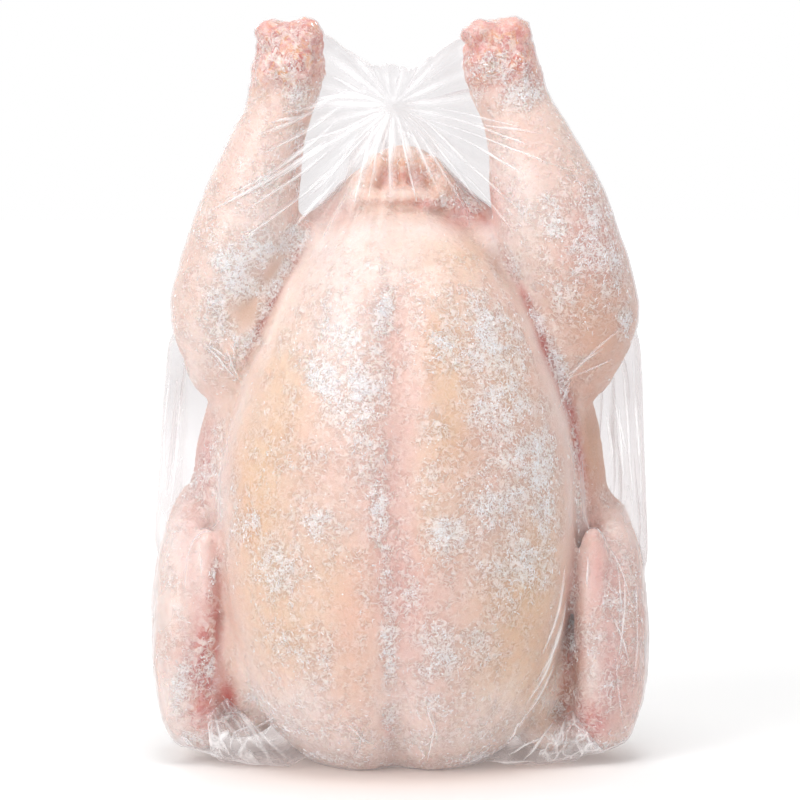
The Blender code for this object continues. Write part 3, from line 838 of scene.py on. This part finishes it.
def skinMaterial():
    material = bpy.data.materials.new("frostedSkin")
    make = nodeMaker(material)
    place = make("TexCoord").outputs["Object"]
    fine = clouds(make, place, 420.0, 4.0, 0.7)
    bare = bareFlesh(make, place, mottledSkin(make, place, fine))

    lines, patch, clumps = frostShares(make, place)
    laceShare = ramp(make, patch, -0.28, 0.9)
    lace = times(make, lines, laceShare, 0.88)
    haze = times(make, ramp(make, patch, 0.4, 1.1), 0.18)
    cover = maths(make, "MAXIMUM", maths(make, "MAXIMUM", lace, clumps), haze)
    # painted shade: the skin between the frost's lines is darkened to stand for the shadow of the raised
    # frost
    paintedGapShade = times(make, laceShare, maths(make, "SUBTRACT", 1.0, lines), 0.6)
    gapShadedSkin = blendColor(make, paintedGapShade, bare, frostLook["between"], "MULTIPLY")
    crystal = blendColor(make, ramp(make, patch, 0.5, 1.2), frostLook["lace"], frostLook["white"])

    wrinkle = clouds(make, place, 210.0, 6.0, 0.6, 0.5)
    pores = ramp(make, make("TexVoronoi", {"Vector": place, "Scale": 480.0}).outputs["Distance"], 0.0, 0.5)
    height = maths(make, "ADD", times(make, wrinkle, 0.9), times(make, pores, 0.25))
    skinBump = relief(make, height, 0.7, skinLook["relief"])
    crust = maths(make, "ADD", times(make, lines, ramp(make, patch, -0.2, 0.6)), times(make, clumps, fine))
    frostBump = relief(make, crust, 0.9, frostLook["relief"], skinBump)
    shader = make("BsdfPrincipled", {
        "Base Color": blendColor(make, cover, gapShadedSkin, crystal), "Normal": frostBump,
        "Roughness": ramp(make, cover, 0.0, 0.8, skinLook["rough"], skinLook["frostRough"]),
        "Specular IOR Level": skinLook["gloss"], "Subsurface Weight": skinLook["inner"],
        "Subsurface Radius": skinLook["innerSpread"], "Subsurface Scale": skinLook["innerDepth"],
    })
    make("OutputMaterial", {"Surface": shader.outputs[0]})
    return material


chicken.data.materials.append(skinMaterial())
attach(chicken, "root")

print("film drawn over the bird")
wrap = {
    "voxel": 0.0021, "rounds": 3, "gap": 0.0006, "reach": 0.0042, "footReach": 0.0075, "tightShare": 0.6,
    "settle": 9, "slack": 0.0007, "skinGap": 0.0003, "under": 0.00035,
    "gather": (-0.0025, -0.012, 0.2725), "pleats": 18, "backPleats": 20, "nub": 0.0022, "nubWidth": 0.003,
    "fine": 0.052, "finest": 0.03, "footHeight": 0.045, "facet": 0.013, "crush": 0.0018,
    "veilLeft": 0.46, "veilRight": 0.28,
}


def treeOf(thing):
    mesh = thing.data
    return BVHTree.FromPolygons([v.co for v in mesh.vertices], [p.vertices for p in mesh.polygons])


chickenTree = treeOf(chicken)


def cling(points, reach, gap):
    # draws film points down onto the bird where it's close, and never lets them inside it
    out = points.copy()
    held = np.zeros(len(points))
    footMore = wrap["footReach"] - reach if reach > 1e-6 else 0
    for i, p in enumerate(points):
        here = Vector(p)
        near, normal, _, far = chickenTree.find_nearest(here)
        inside = (here - near).dot(normal) < 0
        hold = reach + footMore * min(1, max(0, 1 - p[2] / 0.04))
        share = 1.0 if inside else 1 - min(1, max(0, (far - hold * 0.45) / (hold * 0.55)))
        share = share * share * (3 - 2 * share)
        held[i] = share
        out[i] = here.lerp(near + normal * gap, share)
    return out, held


# the broad ribs on the front: angle from straight down in degrees, width, height and length in mm
broadRibs = [
    (2, 2.6, 1.5, 38), (-17, 2.4, 1.4, 36), (25, 3.0, 1.5, 44), (35, 2.6, 1.2, 48), (14, 1.8, 1.0, 30),
    (48, 2.4, 1.1, 46), (60, 2.8, 1.1, 48), (76, 2.4, 1.0, 46), (-30, 1.4, 1.0, 46), (-39, 1.2, 0.9, 52),
    (-50, 1.5, 0.9, 56), (-63, 1.6, 0.8, 50), (-78, 2.2, 0.9, 44), (92, 3.2, 1.3, 50), (106, 2.6, 1.0, 34),
    (-96, 2.6, 1.0, 40), (-115, 2.8, 1.1, 40), (-135, 2.6, 1.1, 30), (128, 3.0, 1.2, 40),
    (142, 2.6, 1.1, 30), (165, 2.6, 1.2, 18), (-165, 2.6, 1.2, 18),
]


def pleatTable(rng, side):
    # angle, width, height, length and drift of each pleat
    rows = []
    if side < 0:
        for angle, *sizes in broadRibs:
            rows.append((-math.radians(angle), *[s / 1000 for s in sizes], rng.uniform(-0.6, 0.6)))
    count = wrap["pleats"] if side < 0 else wrap["pleats"] + wrap["backPleats"]
    for i in range(count):
        angle = 2 * math.pi * (i + rng.uniform(-0.5, 0.5)) / count
        rows.append((angle, rng.uniform(0.0014, 0.0034), rng.uniform(0.15, 0.6) * 0.0012,
                     rng.uniform(0.02, 0.055), rng.uniform(-0.6, 0.6)))
    return rows


def pleatLift(angle, far, side):
    lift = np.zeros(len(far))
    for pleat, width, height, length, drift in pleatTable(random.Random(7 + side), side):
        off = (angle - pleat - drift * far + math.pi) % (2 * math.pi) - math.pi
        wide = width * 0.5 * np.clip(0.35 + far / 0.022, 0, 1.4)
        shape = np.exp(-(off * far / wide) ** 2)
        run = np.clip(far / 0.008, 0, 1) * np.clip(1.15 - far / length, 0, 1) ** 0.8
        lift = np.maximum(lift, height * shape * run)
    return lift


def crumple(points, size, seed):
    # the creased facets of crushed film: 0 at each facet's middle, more towards its edges
    shift = Vector((seed * 3.7, seed * 1.9, seed * 2.3))
    return np.array([noise.voronoi(Vector(p) / size + shift)[0][0] for p in points])


def filmBase():
    film = bringIn("film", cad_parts["clear_bag"].data.copy())
    mesh = film.data
    mesh.name = "film"
    mesh.materials.clear()
    bm = bmesh.new()
    bm.from_mesh(mesh)
    bmesh.ops.remove_doubles(bm, verts=bm.verts, dist=1e-6)
    # the bird goes in too, so that no part of it stands outside the film
    bm.from_mesh(chicken.data)
    bm.to_mesh(mesh)
    bm.free()
    voxelSkin(film, wrap["voxel"], wrap["rounds"])
    mesh = film.data
    points, _ = cling(readPoints(mesh), wrap["reach"], wrap["gap"])
    points, _ = cling(relax(mesh, points, wrap["settle"]), wrap["reach"] * wrap["tightShare"], wrap["gap"])
    writePoints(mesh, points)
    return film


def refineGather(mesh):
    # finer faces near the gathered neck, so that the pleats have shape
    centre = Vector(wrap["gather"])

    def near(v, limit):
        return math.hypot(v.co.x - centre.x, v.co.z - centre.z) < limit

    bm = bmesh.new()
    bm.from_mesh(mesh)
    for limit in (wrap["fine"], wrap["finest"]):
        edges = [e for e in bm.edges if all(near(v, limit) for v in e.verts)]
        bmesh.ops.subdivide_edges(bm, edges=edges, cuts=1, use_grid_fill=True)
    loose = [v for v in bm.verts if near(v, wrap["finest"])]
    for _ in range(3):
        bmesh.ops.smooth_vert(bm, verts=loose, factor=0.5,
                              use_axis_x=True, use_axis_y=True, use_axis_z=True)
    bm.to_mesh(mesh)
    bm.free()


def creaseFilm(mesh):
    points, normals = readPoints(mesh), readNormals(mesh)
    _, held = cling(points, wrap["reach"] * wrap["tightShare"], wrap["gap"])
    away = points - np.array(wrap["gather"])
    far = np.hypot(away[:, 0], away[:, 2])
    angle = np.arctan2(away[:, 0], -away[:, 2])
    faceOn = np.clip((far - 0.006) / 0.01, 0, 1)
    # loose film ripples along lines that run from the gather, and down the sides
    stretched = np.stack([angle * 0.11, far * 0.12, np.sign(points[:, 1]) * 0.02], 1)
    ripple = wander(stretched, 0.006, 21, 1) * faceOn
    upright = np.stack([points[:, 0] * 1.0, points[:, 1], points[:, 2] * 0.1], 1)
    sideRipple = wander(upright, 0.005, 22, 1)
    top = np.clip((points[:, 2] - 0.185) / 0.04, 0, 1)
    slack = 1 - held * 0.8
    move = wrap["slack"] * slack * (top * ripple + (1 - top) * sideRipple)
    # crushed film round the foot
    foot = np.clip(1 - points[:, 2] / wrap["footHeight"], 0, 1) ** 0.6 * slack
    foot *= np.clip(points[:, 2] / 0.003, 0, 1)
    creased = crumple(points, wrap["facet"], 3)
    move += wrap["crush"] * foot * (creased - 0.45)
    front = normals[:, 1] < 0
    lift = np.where(front, pleatLift(angle, far, -1), pleatLift(angle, far, 1))
    move += lift + wrap["nub"] * np.exp(-(far / wrap["nubWidth"]) ** 2) * front
    points += normals * move[:, None]
    points, _ = cling(points, 1e-9, wrap["skinGap"])
    points[:, 2] = np.maximum(points[:, 2], 0.0)
    writePoints(mesh, points)
    # whiter on the crests
    crest = np.clip(slack * (top * ripple + (1 - top) * sideRipple) * 1.6 - 0.2, 0, 1) * 0.35
    crest = np.maximum(crest, np.clip(lift / 0.0011, 0, 1) ** 1.3)
    crest = np.maximum(crest, foot * np.clip(creased * 2.2 - 1.1, 0, 1) * 0.6)
    # the film lies in several layers over the wings and hides them a little
    veil = np.clip((np.abs(points[:, 0]) - 0.08) / 0.014, 0, 1)
    veil *= np.clip((0.135 - points[:, 2]) / 0.03, 0, 1)
    veil *= np.where(points[:, 0] < 0, wrap["veilLeft"], wrap["veilRight"])
    writeValue(mesh, "milk", np.clip(crest + veil * (0.8 + 0.5 * sideRipple), 0, 1))


def pressSkin():
    # where the skin would stand through the film, the film presses it in
    filmTree = treeOf(film)
    points, normals = readPoints(chicken.data), readNormals(chicken.data)
    for i, p in enumerate(points):
        near, normal, _, far = filmTree.find_nearest(Vector(p))
        through = (Vector(p) - near).dot(normal) > -wrap["under"]
        if through and far < 0.004 and normal.dot(Vector(normals[i])) > 0:
            points[i] = near - normal * wrap["under"]
    points[:, 2] = np.maximum(points[:, 2], 0.0004)
    writePoints(chicken.data, points)


film = filmBase()
refineGather(film.data)
creaseFilm(film.data)
film.data.shade_smooth()
pressSkin()
print("  faces", len(film.data.polygons))

filmLook = {
    # the 'right' tone is painted shade: the film is greyer on the bird's right side
    "clear": (0.908, 0.897, 0.902, 1), "thick": (0.9, 0.89, 0.895, 1), "right": (0.975, 0.968, 0.97, 1),
    "milk": (0.9, 0.885, 0.89, 1), "facing": 0.026, "edge": 0.14, "rough": 0.32,
    "haze": 0.04, "crestMilk": 0.42, "edgeMilk": 0.42,
}
foldLook = {
    "clear": (0.975, 0.97, 0.972, 1), "thick": (0.95, 0.945, 0.95, 1), "right": (1, 1, 1, 1),
    "milk": (0.93, 0.925, 0.93, 1), "facing": 0.03, "edge": 0.14, "rough": 0.2,
    "haze": 0.01, "crestMilk": 0.5, "edgeMilk": 0.25,
}


def filmMaterial(name, look):
    # thin clear film: clearest face on, greyer and shinier where it turns away, whiter where it is gathered
    material = bpy.data.materials.new(name)
    make = nodeMaker(material)
    place = make("TexCoord").outputs["Object"]
    facing = make("LayerWeight", {"Blend": 0.5}).outputs["Facing"]
    turned = maths(make, "POWER", facing, 3.0)
    tone = blendColor(make, turned, look["clear"], look["thick"])
    across = make("SeparateXYZ", {0: place}).outputs["X"]
    # painted shade: the film is made greyer towards the bird's right side, away from the key lamp
    tone = blendColor(make, ramp(make, across, 0.07, 0.095), tone, look["right"], "MULTIPLY")
    clear = make("BsdfTransparent", {"Color": tone}).outputs[0]

    gathered = make("Attribute", attribute_name="milk").outputs["Fac"]
    wave = ramp(make, clouds(make, place, 60.0, 1.0), 0.3, 0.7, 0.6, 1.3)
    creased = maths(make, "ADD", look["haze"], times(make, gathered, look["crestMilk"]))
    cloudy = maths(make, "ADD", times(make, wave, creased), times(make, turned, look["edgeMilk"]))
    milky = make("BsdfDiffuse", {"Color": look["milk"]}).outputs[0]
    body = make("MixShader", {0: cloudy, 1: clear, 2: milky}).outputs[0]

    broad = relief(make, clouds(make, place, 110.0, 2.0, warp=0.4), 0.5, 0.0012)
    bump = relief(make, clouds(make, place, 330.0, 1.0), 0.5, 0.0004, broad)
    gloss = make("BsdfGlossy", {"Color": white, "Roughness": look["rough"], "Normal": bump})
    # for shadows only the share that is let through counts, so the bumpy gloss isn't worked out there
    shadow = make("LightPath").outputs["Is Shadow Ray"]
    gloss = make("MixShader", {0: shadow, 1: gloss.outputs[0], 2: milky}).outputs[0]
    shine = ramp(make, turned, 0.0, 1.0, look["facing"], look["edge"], False)
    make("OutputMaterial", {"Surface": make("MixShader", {0: shine, 1: body, 2: gloss}).outputs[0]})
    return material


film.data.materials.append(filmMaterial("clearFilm", filmLook))
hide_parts("clear_bag")
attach(film, "root")

print("folds in the film")
folds = {"stations": 22, "across": 4, "fromNeck": 14, "web": 20, "foot": 30, "wobble": 0.0002,
         "taut": 4, "stand": 0.00012, "around": 0.1}
outerTree = treeOf(film)


def onFront(x, z, side=-1):
    spot, normal, _, _ = outerTree.ray_cast(Vector((x, side * 0.3, z)), Vector((0, -side, 0)))
    return (spot, normal) if spot else None


def onRound(turn, z):
    # the outer film at a compass turn round the bird: 0 is the front, a quarter turn its right side
    away = Vector((math.sin(turn), -math.cos(turn), 0))
    spot, normal, _, _ = outerTree.ray_cast(Vector((0, 0, z)) + away * 0.4, -away)
    return (spot, normal) if spot else None


def crowd(template, count):
    # one mesh of many copies of a small shape, in order
    small = finishMesh(template, "template")
    whole = bmesh.new()
    for _ in range(count):
        whole.from_mesh(small)
    bpy.data.meshes.remove(small)
    return finishMesh(whole, "crowd")


def foldPoints(path, width, height, lean, unit):
    # a thin ridge of film along a path of spots on the bag
    spots = np.array([p[0] for p in path])
    normals = np.array([p[1] for p in path])
    ahead = np.gradient(spots, axis=0)
    ahead /= np.maximum(1e-9, np.linalg.norm(ahead, axis=1))[:, None]
    wide = np.cross(ahead, normals)
    share = (unit[:, 0] + 1) / 2 * (len(path) - 1)
    k = np.round(share).astype(int)
    across = unit[:, 1]
    taper = np.sin(np.pi * np.clip(k / (len(path) - 1), 0.0, 1.0)) ** 0.6
    profile = 1 - np.abs(across + lean * (1 - across**2)) ** 1.5
    points = spots[k] + wide[k] * (across * width * 0.5 * taper)[:, None]
    points += normals[k] * (folds["stand"] + height * taper * np.clip(profile, 0, 1))[:, None]
    return points, np.clip(profile, 0, 1) * taper


def restation(path):
    # too short: the stations are laid again over the part that was found
    grown = []
    for i in range(folds["stations"] + 1):
        place = i / folds["stations"] * (len(path) - 1)
        j = min(int(place), len(path) - 2)
        grown.append([a.lerp(b, place - j) for a, b in zip(path[j], path[j + 1])])
    return grown


def tracePath(project, start, end, wobble, rng, bow=0.0):
    # the spots and normals along a fold, or nothing where too little of it lies on the film
    path = []
    phase, beats = rng.uniform(0, 6.28), rng.uniform(0.6, 1.8)
    run = Vector((end[0] - start[0], end[1] - start[1]))
    run.normalize()
    for i in range(folds["stations"] + 1):
        t = i / folds["stations"]
        a = start[0] + (end[0] - start[0]) * t
        b = start[1] + (end[1] - start[1]) * t
        arch = math.sin(math.pi * t)
        side = wobble * math.sin(phase + t * 6.28 * beats) * arch + bow * arch
        found = project(a - run.y * side, b + run.x * side)
        if found is None:
            break
        path.append(found)
    if len(path) == folds["stations"] + 1:
        return path
    return restation(path) if len(path) >= 5 else None


def tauten(path):
    # a drawn fold runs over the small dips of the film instead of into them
    spots = np.array([p[0] for p in path])
    normals = np.array([p[1] for p in path])
    depth = spots[:, 1].copy()
    for _ in range(folds["taut"]):
        even = depth.copy()
        even[1:-1] = (depth[:-2] + depth[2:]) / 2
        depth = np.minimum(depth, even)
        normals[1:-1] = (normals[:-2] + normals[1:-1] + normals[2:]) / 3
    spots[:, 1] = depth
    return [(Vector(s), Vector(n).normalized()) for s, n in zip(spots, normals)]


# the plainest folds: start and end in picture pixels, then width, height and bow in mm
mainFolds = [
    ((391, 112), (391, 188), 2.8, 1.0, 0), ((378, 112), (354, 204), 2.8, 0.9, 0),
    ((384, 112), (369, 196), 1.6, 0.7, 0), ((586, 545), (585, 578), 1.5, 0.3, 0),
    ((203, 536), (204, 566), 1.3, 0.3, 0), ((606, 536), (630, 596), 1.1, 0.4, 1),
    ((614, 548), (621, 612), 0.9, 0.4, 0), ((604, 596), (628, 668), 1.1, 0.4, 2),
    ((398, 112), (416, 196), 1.6, 0.8, 0), ((402, 110), (440, 192), 1.8, 0.9, 0),
    ((405, 108), (466, 208), 1.6, 0.9, 0), ((408, 106), (482, 204), 1.6, 0.9, 0),
    ((410, 104), (488, 178), 1.4, 0.7, 0), ((366, 118), (322, 190), 1.4, 0.6, 0),
    ((352, 86), (284, 110), 3.4, 1.2, 2), ((376, 96), (312, 97), 3.0, 1.0, -1),
    ((344, 102), (262, 150), 3.0, 0.8, 1), ((340, 116), (230, 192), 2.6, 0.8, 2),
    ((336, 130), (212, 206), 2.4, 0.8, 2), ((345, 136), (250, 204), 2.2, 0.7, 1),
    ((352, 128), (262, 186), 2.8, 0.7, -1), ((330, 100), (258, 132), 2.2, 0.7, 1),
    ((350, 150), (240, 236), 2.4, 0.8, 1), ((348, 164), (286, 232), 2.0, 0.7, 0),
    ((322, 108), (270, 120), 2.0, 0.8, 0), ((430, 104), (520, 124), 1.6, 0.6, 0),
    ((430, 110), (528, 142), 1.4, 0.6, 1), ((440, 126), (524, 172), 1.3, 0.6, 1),
    ((446, 142), (520, 206), 1.3, 0.6, 0), ((470, 120), (540, 130), 1.4, 0.5, 0),
    ((452, 160), (512, 226), 1.2, 0.6, 1), ((180, 728), (196, 744), 2.0, 0.7, 1),
    ((222, 692), (275, 752), 3.4, 1.6, 2), ((214, 700), (236, 748), 2.4, 1.2, -1),
    ((232, 700), (300, 758), 2.2, 1.0, 2), ((545, 720), (556, 748), 2.8, 1.4, 1),
    ((570, 706), (548, 745), 2.4, 1.2, 0), ((556, 712), (520, 752), 1.8, 1.0, -1),
    ((575, 720), (600, 748), 1.8, 1.0, 1), ((206, 334), (240, 374), 1.0, 0.8, 0),
    ((208, 336), (232, 352), 0.9, 0.8, 0), ((232, 334), (240, 350), 1.4, 1.1, 0),
    ((238, 332), (235, 352), 1.0, 0.9, 0), ((228, 340), (242, 376), 1.2, 0.8, 0),
    ((560, 374), (602, 340), 2.0, 1.0, 1), ((558, 384), (622, 318), 1.4, 0.8, 2),
    ((566, 372), (612, 352), 1.2, 0.7, 0), ((604, 404), (611, 470), 1.8, 0.6, 1),
    ((613, 388), (624, 486), 2.2, 0.6, 1), ((622, 362), (633, 500), 1.6, 0.6, 0),
    ((630, 352), (641, 530), 2.0, 0.6, 1), ((618, 400), (628, 452), 1.4, 0.5, -1),
    ((173, 352), (165, 486), 1.8, 0.5, -1), ((182, 384), (172, 502), 2.2, 0.5, 0),
    ((622, 560), (616, 650), 1.2, 0.5, 1), ((634, 570), (630, 690), 1.4, 0.5, 1),
    ((612, 640), (622, 720), 1.2, 0.5, 0), ((556, 400), (570, 372), 1.4, 0.9, 0),
    ((562, 552), (538, 640), 2.6, 0.4, 2), ((564, 585), (532, 668), 3.0, 0.4, 2),
    ((558, 608), (522, 690), 3.2, 0.4, 2), ((552, 650), (518, 706), 3.0, 0.4, 1),
    ((180, 737), (230, 747), 2.2, 1.0, -1), ((228, 747), (272, 753), 2.6, 1.1, -1),
    ((470, 754), (536, 750), 2.0, 0.9, 1), ((505, 742), (545, 724), 1.4, 0.7, 1),
]


def neckFold(rng):
    x, _, z = wrap["gather"]
    angle = rng.uniform(-math.pi, math.pi)
    # long ones run to the sides, short ones up and down
    reach = 1.0 if 0.7 < abs(angle) < 2.3 else 0.35
    near, far = rng.uniform(0.003, 0.012), rng.uniform(0.022, 0.085) * reach
    start = (x + near * math.sin(angle), z - near * math.cos(angle))
    bend = angle + rng.uniform(-0.12, 0.12)
    end = (x + far * math.sin(bend), z - far * math.cos(bend))
    side = -1 if rng.random() < 0.62 else 1
    width, height = rng.uniform(0.001, 0.0024), rng.uniform(0.0004, 0.0008)
    return (lambda a, b: onFront(a, b, side)), start, end, width, height, 0.0008


def roundFold(a, b):
    return onRound(a / folds["around"], max(0.0008, b))


def webFold(rng):
    side = 1 if rng.random() < 0.7 else -1
    turn = side * rng.uniform(math.radians(98), math.radians(145))
    top = rng.uniform(0.09, 0.215)
    drop = rng.uniform(0.025, 0.085)
    start = (turn * folds["around"], top)
    end = (start[0] + rng.uniform(-0.004, 0.004), top - drop)
    return roundFold, start, end, rng.uniform(0.0012, 0.0034), rng.uniform(0.0004, 0.001), 0.0014


def footFold(rng):
    turn = rng.uniform(-math.pi, math.pi)
    low = rng.uniform(0.001, 0.014)
    run = rng.uniform(0.008, 0.03)
    slope = rng.uniform(-1.0, 1.0)
    start = (turn * folds["around"], low)
    end = (start[0] + run * slope, low + run * rng.uniform(0.15, 0.9))
    return roundFold, start, end, rng.uniform(0.0006, 0.0018), rng.uniform(0.0004, 0.0011), 0.001


# corners in picture pixels, from the top left round to the bottom left
crushedCorners = {
    "left": ((208, 706), (228, 690), (292, 758), (212, 750)),
    "right": ((543, 722), (572, 704), (604, 746), (534, 754)),
}
corner = {"across": 40, "crease": 0.008, "deep": 0.0016, "stand": 0.001, "creaseRuns": 5, "even": 12,
          "milk": 0.16, "rimMilk": 0.4}


def foldedPaper(points, size, seed):
    # sharp creases in a few directions: the height, and how near each point is to a crest
    rng = random.Random(seed)
    height, crest = np.zeros(len(points)), np.zeros(len(points))
    for i in range(corner["creaseRuns"]):
        turn = rng.uniform(0, math.pi)
        step = size * (0.7 + 0.5 * i)
        bend = wander(points, size * 1.6, seed + i * 3, 2) * 0.9
        wave = (points[:, 0] * math.cos(turn) + points[:, 2] * math.sin(turn)) / step + bend + rng.random()
        ridge = 1 - 2 * np.abs(wave % 1.0 - 0.5)
        height += ridge * step / size
        crest = np.maximum(crest, np.clip(ridge * 6 - 5, 0, 1) * rng.uniform(0.4, 1.0))
    return height / corner["creaseRuns"], crest


def crushedSheet(name, spots):
    # a loose crushed corner of the bag, standing off the film behind it
    bm = bmesh.new()
    bmesh.ops.create_grid(bm, x_segments=corner["across"], y_segments=corner["across"], size=1)
    flat = (unitPoints(bm) + 1) / 2
    tl, tr, br, bl = [np.array(pixel(*s)) for s in spots]
    u, v = flat[:, 0:1], 1 - flat[:, 1:2]
    place = (tl * (1 - u) + tr * u) * (1 - v) + (bl * (1 - u) + br * u) * v
    points = np.zeros((len(place), 3))
    for i, (x, z) in enumerate(place):
        found = onFront(x, max(z, 0.001)) or onFront(x * 0.97, max(z, 0.001) + 0.002)
        points[i] = (x, found[0].y if found else -0.01, max(z, 0.0006))
    reshape(bm, points)
    for _ in range(corner["even"]):
        bmesh.ops.smooth_vert(bm, verts=bm.verts, factor=0.5, use_axis_y=True)
    points = unitPoints(bm)
    rim = np.minimum(np.minimum(u, 1 - u), np.minimum(v, 1 - v))[:, 0]
    creased, crest = foldedPaper(points, corner["crease"], len(name))
    edge = np.clip(rim / 0.1, 0, 1)
    points[:, 1] -= corner["stand"] * edge + corner["deep"] * creased * edge
    reshape(bm, points)
    layer = bm.verts.layers.float.new("milk")
    for v, value, inner in zip(bm.verts, crest, rim):
        v[layer] = corner["milk"] + value + (corner["rimMilk"] if inner < 0.02 else 0.0)
    return bm


def makeFolds():
    rng = random.Random(31)
    strip = bmesh.new()
    bmesh.ops.create_grid(strip, x_segments=folds["stations"], y_segments=folds["across"], size=1)
    unit = unitPoints(strip)
    ridges = []
    for start, end, width, height, bow in mainFolds:
        path = tracePath(onFront, pixel(*start), pixel(*end), folds["wobble"], rng, bow / 1000)
        if path:
            lean = rng.uniform(-0.6, 0.6)
            ridges.append(foldPoints(tauten(path), width / 1000, height / 1000, lean, unit))
    for kind, count in ((neckFold, folds["fromNeck"]), (webFold, folds["web"]), (footFold, folds["foot"])):
        for _ in range(count):
            project, start, end, width, height, wobble = kind(rng)
            path = tracePath(project, start, end, wobble, rng)
            if path:
                ridges.append(foldPoints(path, width, height, rng.uniform(-0.6, 0.6), unit))
    mesh = crowd(strip, len(ridges))
    points = np.concatenate([r[0] for r in ridges])
    points[:, 2] = np.maximum(points[:, 2], 0.0003)
    writePoints(mesh, points)
    writeValue(mesh, "milk", np.concatenate([r[1] for r in ridges]))
    whole = bmesh.new()
    whole.from_mesh(mesh)
    for name, spots in crushedCorners.items():
        pour(crushedSheet(name, spots), whole)
    whole.to_mesh(mesh)
    whole.free()
    mesh.name = "filmFolds"
    mesh.shade_smooth()
    return bringIn("filmFolds", mesh)


filmFolds = makeFolds()
filmFolds.data.materials.append(filmMaterial("foldedFilm", foldLook))
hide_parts("clear_bag")
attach(filmFolds, "root")
print("  faces", len(filmFolds.data.polygons))

print("frost on the skin")
frost = {"threads": 12000, "grains": 14000, "parts": 4, "threadWidth": 0.0003, "step": 0.00042,
         "grain": 0.00034, "spread": 0.0005, "sparsest": 0.005}


def frostSeeds(rng, count, sharpness, clump):
    # spots on the skin, most of them where the frost is thickest
    mesh = chicken.data
    faces = mesh.polygons
    area = readAll(faces, "area")
    centre, normal = readAll(faces, "center", 3).astype(float), readAll(faces, "normal", 3).astype(float)
    amount = readAll(mesh.attributes["frost"].data, "value")
    corners = readAll(mesh.loops, "vertex_index", kind=np.int32)
    share = amount[corners[readAll(faces, "loop_start", kind=np.int32)]].astype(float)
    weight = area * (frost["sparsest"] + np.clip(share, 0, 1) ** sharpness)
    weight *= np.clip(wander(centre, clump, 41, 2) * 3.0 + 0.4, 0.03, 1.5)
    weight *= centre[:, 2] > 0.0015
    picked = rng.choice(len(faces), count, p=weight / weight.sum())
    jitter = rng.normal(0, frost["spread"], (count, 3))
    jitter -= normal[picked] * (jitter * normal[picked]).sum(1)[:, None]
    return centre[picked] + jitter, normal[picked]


def tangents(rng, normals):
    ahead = np.cross(normals, rng.normal(0, 1, normals.shape))
    ahead /= np.linalg.norm(ahead, axis=1)[:, None]
    return ahead, np.cross(normals, ahead)


def frostThreads(rng, count):
    strip = bmesh.new()
    bmesh.ops.create_grid(strip, x_segments=frost["parts"], y_segments=2, size=1)
    unit = unitPoints(strip)
    spots, normals = frostSeeds(rng, count, 1.9, 0.0045)
    ahead, wide = tangents(rng, normals)
    size = rng.uniform(0.55, 1.35, count)
    curl, heading = rng.normal(0, 0.95, count), np.zeros(count)
    centres, sideways = [spots], [wide]
    for _ in range(frost["parts"]):
        heading = heading + curl + rng.normal(0, 0.3, count)
        go = ahead * np.cos(heading)[:, None] + wide * np.sin(heading)[:, None]
        centres.append(centres[-1] + go * (frost["step"] * size)[:, None])
        sideways.append(np.cross(normals, go))
    k = np.round((unit[:, 0] + 1) / 2 * frost["parts"]).astype(int)
    across = np.round(unit[:, 1])
    thick = frost["threadWidth"] * size
    points = np.empty((count, len(unit), 3))
    for v in range(len(unit)):
        ends = 0.55 if k[v] in (0, frost["parts"]) else 1.0
        lift = (0.00028 if across[v] == 0 else -0.0001) * ends
        points[:, v] = centres[k[v]] + sideways[k[v]] * (across[v] * thick * 0.5 * ends)[:, None] \
            + normals * (lift * size)[:, None]
    mesh = crowd(strip, count)
    writePoints(mesh, points.reshape(-1, 3))
    return mesh


def frostGrains(rng, count):
    cone = bmesh.new()
    bmesh.ops.create_cone(cone, cap_ends=False, segments=4, radius1=1, radius2=0, depth=1)
    bmesh.ops.remove_doubles(cone, verts=cone.verts, dist=0.001)
    unit = unitPoints(cone)
    spots, normals = frostSeeds(rng, count, 2.2, 0.006)
    ahead, wide = tangents(rng, normals)
    size = frost["grain"] * (0.6 + 1.5 * rng.random(count) ** 3)
    skew = rng.uniform(-0.6, 0.6, (count, 2))
    tall = rng.uniform(0.4, 1.0, count)
    points = np.empty((count, len(unit), 3))
    for v, (x, y, z) in enumerate(unit):
        up = (z + 0.5) * tall - 0.2
        reach = rng.uniform(0.6, 1.3, count)
        points[:, v] = spots + ahead * (size * (x * reach + skew[:, 0] * (z + 0.5)))[:, None] \
            + wide * (size * (y * reach + skew[:, 1] * (z + 0.5)))[:, None] + normals * (size * up)[:, None]
    mesh = crowd(cone, count)
    writePoints(mesh, points.reshape(-1, 3))
    return mesh


def makeFrost(name, mesh):
    whole = bmesh.new()
    whole.from_mesh(mesh)
    bmesh.ops.recalc_face_normals(whole, faces=whole.faces)
    whole.to_mesh(mesh)
    whole.free()
    mesh.name = name
    return bringIn(name, mesh)


def frostMaterial():
    material = bpy.data.materials.new("frostCrystals")
    make = nodeMaker(material)
    place = make("TexCoord").outputs["Object"]
    grit = clouds(make, place, 900.0, 3.0)
    color = blendColor(make, ramp(make, grit, 0.3, 0.7), frostLook["bright"], frostLook["dull"])
    bump = relief(make, grit, 0.4, 0.0001)
    shader = make("BsdfPrincipled", {"Base Color": color, "Roughness": 0.45, "Normal": bump})
    make("OutputMaterial", {"Surface": shader.outputs[0]})
    return material


frostRng = np.random.default_rng(5)
crystalWhite = frostMaterial()
for frostPiece in (makeFrost("frostThreads", frostThreads(frostRng, frost["threads"])),
                   makeFrost("frostGrains", frostGrains(frostRng, frost["grains"]))):
    frostPiece.data.materials.append(crystalWhite)
    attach(frostPiece, "root")
    print("  faces", len(frostPiece.data.polygons))
